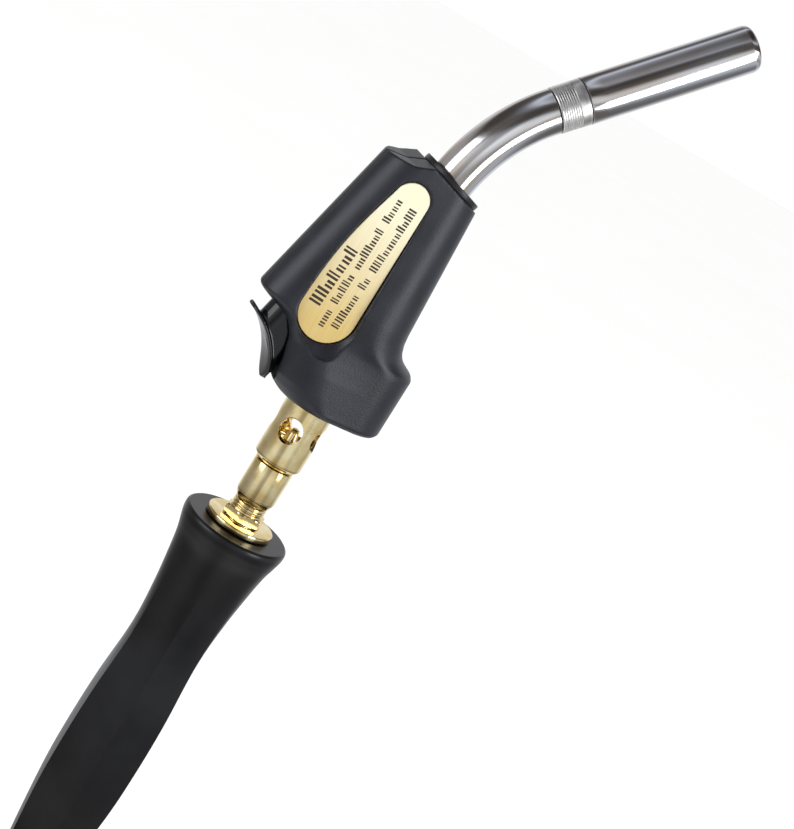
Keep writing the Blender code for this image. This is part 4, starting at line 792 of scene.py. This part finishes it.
def make_print():
    """All strokes as thin boxes in one mesh: eight points and six faces each."""
    flat = np.concatenate([strokes(*row) for row in PRINT_ROWS])
    low = np.concatenate([flat, np.full((*flat.shape[:2], 1), PLATE_FACE - INK_SUNK)], -1)
    high = low + np.array([0, 0, INK_FILM])
    points = np.concatenate([low, high], 1).reshape(-1, 3) * MM
    sides = np.array([(0, 1, 2, 3), (4, 5, 6, 7), (0, 1, 5, 4), (1, 2, 6, 5), (2, 3, 7, 6),
                      (3, 0, 4, 7)])
    faces = (sides[None] + 8 * np.arange(len(flat))[:, None, None]).reshape(-1, 4)
    mesh = bpy.data.meshes.new("label_strokes")
    mesh.from_pydata(points, [], faces.tolist())
    mesh.transform(LABEL_PLACE)
    tidied(mesh)
    return linked("label_strokes", mesh, INK)


stands_for(make_print(), "head", slot="gold_plate")

# %% [markdown]
# Round the burn tube, on the sloping roof, lies a black heat collar. Three screws hold the shells
# together from the far side; their heads have a hexagon socket, turned like any other outline.

# %% Heat collar and housing screws
ROOF_SLOPE, RIDGE = 17.5, 74.9
COLLAR_X, FROM_RIDGE = 0.3, 9.5
COLLAR_PLACE = leaning(COLLAR_X, FOOT + RIDGE - FROM_RIDGE * math.tan(math.radians(ROOF_SLOPE)),
                       ROOF_SLOPE)
COLLAR = [(7.15, 0.0), (7.15, 1.7), (9.9, 1.7), (9.9, 0.0)]
collar = turned("black_heat_collar_ring", COLLAR, COLLAR_BLACK, COLLAR_PLACE, edge=0.35)
stands_for(collar, "head", "heat_collar", slot="trigger_plastic")

SCREW = [(0, 7.1), (1.3, 7.1, 1.08), (1.3, 8.1, 1.08), (1.95, 8.1), (2.4, 7.5), (2.4, 6.5),
         (1.3, 6.5), (1.3, -5.5), (0.6, -6.4), (0, -6.4)]
for index in (1, 2, 3):
    screw = turned(f"shell_screw_{index}", SCREW, ZINC, screw_frame(index), 48, 0.12)
    stands_for(screw, "head", f"housing_screw_{index}", slot="zinc_steel")

# %% [markdown]
# The trigger is a thumb pad on a block. The pad is a thin curved leaf: its middle line is an arc
# of a circle, its cross-section a flattened oval, and its half width falls off to round ends. The
# block below it slides in the housing, and the two are joined and softened like the shells.

# %% Trigger
PAD_TIP, PAD_END = np.array([-6.8, -11.0]), np.array([10.2, -24.6])
PAD_SAG, PAD_THICK, PAD_HALF = 2.6, 1.2, 5.5
BLOCK_ENDS, BLOCK_TOP = (2.0, 4.6, 7.0, 4.6), 4.0
OVAL = 0.6                # under 1, so that the leaf's section is a flattened oval
TRIGGER_SQUARE = 0.00022


def pad_line(share, offset):
    """Points on the pad's arc at shares from tip to end, moved off by an amount to its back."""
    chord = PAD_END - PAD_TIP
    half = np.linalg.norm(chord) / 2
    radius = (half ** 2 + PAD_SAG ** 2) / (2 * PAD_SAG)
    along = chord / np.linalg.norm(chord)
    back = np.array([-along[1], along[0]])
    centre = PAD_TIP + chord / 2 + back * (PAD_SAG - radius)
    angle = (2 * np.asarray(share) - 1) * math.asin(half / radius)
    reach = radius + np.asarray(offset)
    return (centre + along * (reach * np.sin(angle))[..., None]
            + back * (reach * np.cos(angle))[..., None])


def make_trigger():
    """Leaf: across = w cos t, thickness = T/2 (1 + sin t), w = half width x sqrt(1 - (2s-1)^4).

    The cosine and the sine are each raised to the power OVAL, with their signs kept.
    """
    share = (1 - np.cos(np.linspace(0, math.pi, 60))) / 2
    wide = PAD_HALF * np.sqrt(np.clip(1 - np.abs(2 * share - 1) ** 4, 0.06, 1))[:, None]
    turn = full_turn(48)
    across = wide * np.sign(np.cos(turn)) * np.abs(np.cos(turn)) ** OVAL
    offset = PAD_THICK / 2 * (1 + np.sign(np.sin(turn)) * np.abs(np.sin(turn)) ** OVAL)
    flat = pad_line(*np.broadcast_arrays(share[:, None], offset, across)[:2])
    grid = np.stack([flat[..., 0], across, flat[..., 1]], -1)
    pad = skin("thumb_trigger", grid * MM, along=False, place=LIGHTER)
    outline = two_circles(*BLOCK_ENDS, 24, 6)
    line = pad_line(np.linspace(0, 1, 200), PAD_THICK / 2)
    foot = np.interp(outline[:, 0], line[:, 0], line[:, 1])
    rows = [np.column_stack([outline, foot + (BLOCK_TOP - foot) * share]) for share in (0, 0.5, 1)]
    block = skin("trigger_block", np.array(rows) * MM, along=False, place=LIGHTER)
    softened(carve(pad, [block], "UNION"), TRIGGER_SQUARE, RELAX)
    pad.data.materials.clear()
    pad.data.materials.append(TRIGGER_NYLON)
    return pad


trigger = make_trigger()
stands_for(trigger, "trigger", "trigger", slot="trigger_plastic")
print("trigger:", len(trigger.data.polygons), "squares")

# %% [markdown]
# A coil spring between the block and the lighter pushes the trigger back. One end stands still while
# the other moves, and the coil rides with its still end.

# %% Return spring
SPRING_R, WIRE_R, SPRING_TURNS = 4.2, 0.2, 3
SPRING_LOW, SPRING_HIGH = 4.5, 11.0


def make_spring(steps=240, sides=10):
    """Ring t on the coil at angle a: radius R + w cos t, height h + w sin t, and h grows with a."""
    a = np.linspace(0, 2 * math.pi * SPRING_TURNS, steps)[:, None]
    t = full_turn(sides)
    level = SPRING_LOW + (SPRING_HIGH - SPRING_LOW) * a / a[-1] + WIRE_R * np.sin(t)
    grid = around(SPRING_R + WIRE_R * np.cos(t), a, level)
    return skin("trigger_return_coil", grid, ZINC, along=False, place=LIGHTER)


spring = stands_for(make_spring(), "head", "return_spring", slot="zinc_steel")
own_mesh(spring)

# %% [markdown]
# Below the grip come the valve's knob, its packing nut and the hose inlet. The knob's rim waves
# eight times round so that a glove can turn it. The inlet's thread is the one helix here: its
# height repeats with z plus a share of the angle, and it runs left-handed, as gas fittings do.

# %% Valve knob, packing nut and hose inlet
VALVE_PLACE = Matrix.Translation((0, 0, -77.1 * MM)) @ Matrix.Rotation(-math.pi / 2, 4, "Y")
# Radius, height, share of the lobes' depth.
KNOB = [(2.3, 18.6, 0), (9.2, 18.6, 0), (11.6, 19.6, 1), (11.6, 29.2, 1), (10.4, 30.6, 0.4),
        (4.6, 30.6, 0), (4.2, 29.9, 0), (2.2, 29.9, 0), (2.2, 28.6, 0), (1.2, 28.6, 0),
        (1.2, 27.4, 0), (2.3, 27.4, 0)]
LOBES, LOBE_DEPTH = 8, 0.9


def make_knob(steps=256):
    """r = outline + depth x share x (0.5 + 0.5 cos 8a), with the corners rounded."""
    line = filled(rounded(np.array(KNOB, float), 0.5), 1.5)
    angle = full_turn(steps)
    wave = 0.5 + 0.5 * np.cos(LOBES * angle)
    radius = line[:, :1] + LOBE_DEPTH * line[:, 2:] * wave
    grid = around(radius, angle, line[:, 1:2])
    return skin("lobed_valve_knob", grid, TRIGGER_NYLON, place=VALVE_PLACE)


stands_for(make_knob(), "knob", "valve_knob", slot="trigger_plastic")
nut = turned("hexagon_packing_nut", [(2.3, 17.8), (5.7, 17.8, 6), (6.9, 17.1, 6), (6.9, 13.4, 6),
                                     (6.1, 12.8, 6), (2.3, 12.8)], BRASS, VALVE_PLACE, 192)
stands_for(nut, "handle", "packing_nut", slot="brass")
gasket = turned("red_inlet_seal", [(5.3, -87.9), (7.5, -87.9), (7.5, -88.9), (5.3, -88.9)], FIBRE)
stands_for(gasket, "handle", "inlet_seal", slot="fibre")

NIPPLE = [(3.3, -82.6), (5.0, -82.6), (5.0, -89.2), (7.9, -89.2, 8.5), (9.75, -90.1, 8.5),
          (9.75, -94.3, 8.5), (7.9, -95.2, 8.5), (6.5, -95.2), (6.5, -105.2), (5.9, -106.2),
          (4.6, -106.2), (2.4, -104.0), (2.4, -87.6), (3.3, -87.6)]
THREAD_FROM, THREAD_TO, THREAD_PITCH, THREAD_DEPTH = -104.9, -96.4, 1.41, 0.6
THREAD_ROOT, THREAD_FADE = 6.5, 0.8


def make_nipple(steps=192):
    """r = turned outline + depth x tent((z + pitch a / 2 pi) / pitch), faded at both ends."""
    points = cornered(NIPPLE, 0.2, 0.12)
    angle = full_turn(steps)
    height = points[:, 1:2]
    phase = (height + THREAD_PITCH * angle / (2 * math.pi)) / THREAD_PITCH
    tent = 1 - np.abs(2 * (phase % 1) - 1)
    fade = (np.clip((height - THREAD_FROM) / THREAD_FADE, 0, 1)
            * np.clip((THREAD_TO - height) / THREAD_FADE, 0, 1))
    outside = np.abs(points[:, :1] - THREAD_ROOT) < 0.05
    radius = hexagonal(points, angle) + THREAD_DEPTH * tent * fade * outside
    return skin("threaded_hose_nipple", around(radius, angle, height), BRASS)


nipple = make_nipple()
stands_for(nipple, "handle", "hose_inlet_nipple", slot="brass")
print("inlet thread:", round((THREAD_TO - THREAD_FROM) / THREAD_PITCH, 1), "turns, left-handed")

# %% [markdown]
# The pieces that are kept as packed are plain, small or deep inside. They get the same finishes,
# by name.

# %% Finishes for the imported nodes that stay
KEPT = {
    BRASS_PLAIN: ("grip_gas_tube", "valve_body", "valve_spindle"),
    ZINC: ("connector_snap_ring", "spark_electrode", "earth_strap", "knob_screw"),
    UNION_STEEL: ("flame_swirler",),
    BRONZE: ("gas_filter", "inlet_strainer"),
    RUBBER: ("connector_o_ring", "spindle_o_ring"),
    CERAMIC: ("tip_insulator", "electrode_insulator", "piezo_plunger"),
    RED_SILICONE: ("ignition_lead",),
    PIEZO_CASE: ("piezo_unit",),
}
for look, names in KEPT.items():
    for name in names:
        kept = nodes[name]
        kept.data.materials.clear()
        kept.data.materials.append(look)
hidden = [name for name, node in nodes.items() if node.hide_render]
print(len(hidden), "nodes replaced,", sum(len(names) for names in KEPT.values()), "kept")

# %% [markdown]
# The floor is plain and pale and lies just under the inlet. A sky does the rest of the studio. It
# is plain white to the camera and as a light, but what polished metal and black plastic mirror is a
# studio: a white wall behind the torch, a dark side where the camera stands, and bands of light
# and shade between them. Without those bands a chromed tube looks like grey card.

# %% Floor and studio sky
FLOOR = -0.112
FLOOR_HALF = 6.0


def make_floor():
    """One flat square, wide enough to pass for endless."""
    mesh = bpy.data.meshes.new("floor")
    corners = [(x * FLOOR_HALF, y * FLOOR_HALF, FLOOR)
               for x, y in ((-1, -1), (1, -1), (1, 1), (-1, 1))]
    mesh.from_pydata(corners, [], [(0, 1, 2, 3)])
    paper, tree, shader = material("pale_paper_floor", Roughness=0.9, Specular_IOR_Level=0.1)
    fibres = spots(tree, add(tree, "TexCoord").outputs["Object"], 0.15, 3.0)
    two_tones(tree, shader, fibres, "#FEFEFD", "#FFFFFF")
    floor = linked("floor", mesh, paper)
    floor.visible_glossy = False
    return floor


make_floor()

FACTOR, FIRST, SECOND, MIXED = 0, 6, 7, 2   # the sockets that a Mix node uses for colours
AHEAD = Vector((0.459, 0.889, 0.0))       # level, from the camera's side to the white wall
ASIDE = Vector((0.889, -0.459, 0.0))      # level, to the right of that
WALL_FROM, WALL_FULL, WALL_SHARE = 0.62, 0.92, 0.85     # the wall fades in, full straight ahead
HEIGHT_BANDS = [(0.00, "#FFFFFF"), (0.13, "#FFFFFF"), (0.20, "#9C9A98"), (0.30, "#949496"),
                (0.35, "#E2E5EA"), (0.42, "#E8EBF0"), (0.48, "#A4A4A6"), (0.52, "#E0E2E8"),
                (0.57, "#FFFFFF"), (0.65, "#F8F9FD"), (0.69, "#C9CCD4"), (0.73, "#6C6866"),
                (0.83, "#5E5A58"), (0.87, "#7C7C84"), (0.90, "#E2E8F4"), (0.93, "#A0A2AA"),
                (0.96, "#5A5654"), (1.00, "#4A4846")]
SIDE_BANDS = [(0.00, "#A8A29C"), (0.10, "#C8C4C0"), (0.20, "#FFFFFF"), (0.32, "#FFFFFF"),
              (0.42, "#C8C4C0"), (0.54, "#B8B4B0"), (0.62, "#FFFFFF"), (0.80, "#FFFFFF"),
              (0.90, "#C0C0C0"), (1.00, "#E8E8E8")]


def bands(tree, value, stops):
    """A colour for each value from -1 to 1, given as stops between 0 and 1."""
    share = add(tree, "MapRange", {"Value": value, "From Min": -1.0, "From Max": 1.0})
    ramp = add(tree, "ValToRGB", {"Fac": share.outputs["Result"]})
    elements = ramp.color_ramp.elements
    while len(elements) < len(stops):
        elements.new(0.5)
    for element, (position, code) in zip(elements, stops):
        element.position = position
        element.color = colour(code)
    return ramp.outputs["Color"]


def make_sky():
    """Mirrored: height bands x side bands, fading to the wall's white straight ahead."""
    world = bpy.data.worlds.new("studio_sky")
    bpy.context.scene.world = world
    world.use_nodes = True
    tree = world.node_tree
    tree.nodes.clear()
    direction = add(tree, "TexCoord").outputs["Generated"]
    height = add(tree, "SeparateXYZ", {"Vector": direction}).outputs["Z"]
    side, ahead = (add(tree, "VectorMath", {0: direction, 1: axis},
                       operation="DOT_PRODUCT").outputs["Value"] for axis in (ASIDE, AHEAD))
    room = add(tree, "Mix", {FACTOR: 1.0, FIRST: bands(tree, height, HEIGHT_BANDS),
                             SECOND: bands(tree, side, SIDE_BANDS)},
               data_type="RGBA", blend_type="MULTIPLY")
    wall = add(tree, "MapRange", {"Value": ahead, "From Min": WALL_FROM, "From Max": WALL_FULL,
                                  "To Max": WALL_SHARE})
    mirrored = add(tree, "Mix", {FACTOR: wall.outputs["Result"], FIRST: room.outputs[MIXED],
                                 SECOND: colour("#F2F3F6")}, data_type="RGBA")
    glossy = add(tree, "LightPath").outputs["Is Glossy Ray"]
    seen = add(tree, "Mix", {FACTOR: glossy, FIRST: colour("#FFFFFF"),
                             SECOND: mirrored.outputs[MIXED]}, data_type="RGBA")
    light = add(tree, "Background", {"Color": seen.outputs[MIXED], "Strength": 1.0})
    out = add(tree, "OutputWorld")
    tree.links.new(light.outputs["Background"], out.inputs["Surface"])


make_sky()

# %% [markdown]
# Two soft lamps stand at the sides. Upright plastic turns each into a long pale band, and that band
# is what shows how round it is. Neither lamp is seen itself.

# %% Lamps and camera
# Each lamp: where it stands, its width, its height, its power in watts.
LAMPS = [((-1.10, -0.18, 0.30), 0.70, 0.80, 5.0), ((0.62, -0.85, 0.30), 0.45, 0.8, 5.5)]
LAMP_TINT = (0.90, 0.94, 1.0)
AIM = Vector((0.0, 0.0, 0.13))
for number, (place, wide, tall, watts) in enumerate(LAMPS, start=1):
    lamp = bpy.data.lights.new(f"soft_lamp_{number}", "AREA")
    lamp.shape = "RECTANGLE"
    lamp.size, lamp.size_y, lamp.energy = wide, tall, watts
    lamp.color = LAMP_TINT
    holder = bpy.data.objects.new(lamp.name, lamp)
    holder.location = place
    holder.rotation_euler = (AIM - Vector(place)).to_track_quat("-Z", "Y").to_euler()
    holder.visible_camera = False
    bpy.context.scene.collection.objects.link(holder)

EYE = Vector((-0.22864, -0.49031, 0.24302))
SIGHT_TURN, SIGHT_DROP, ROLL = 62.71, 13.43, 32.2
FOCAL_MM = 86.85

camera = bpy.data.cameras.new("camera")
camera.lens = FOCAL_MM
camera.sensor_width = 36.0
camera.clip_start = 0.01
viewer = bpy.data.objects.new("camera", camera)
bpy.context.scene.collection.objects.link(viewer)
viewer.matrix_world = (Matrix.Translation(EYE)
                       @ Matrix.Rotation(math.radians(SIGHT_TURN - 90), 4, "Z")
                       @ Matrix.Rotation(math.radians(90 - SIGHT_DROP), 4, "X")
                       @ Matrix.Rotation(math.radians(ROLL), 4, "Z"))
bpy.context.scene.camera = viewer
bpy.context.scene.view_settings.view_transform = "Standard"
print("camera stands", round((EYE - AIM).length, 3), "m from the torch")
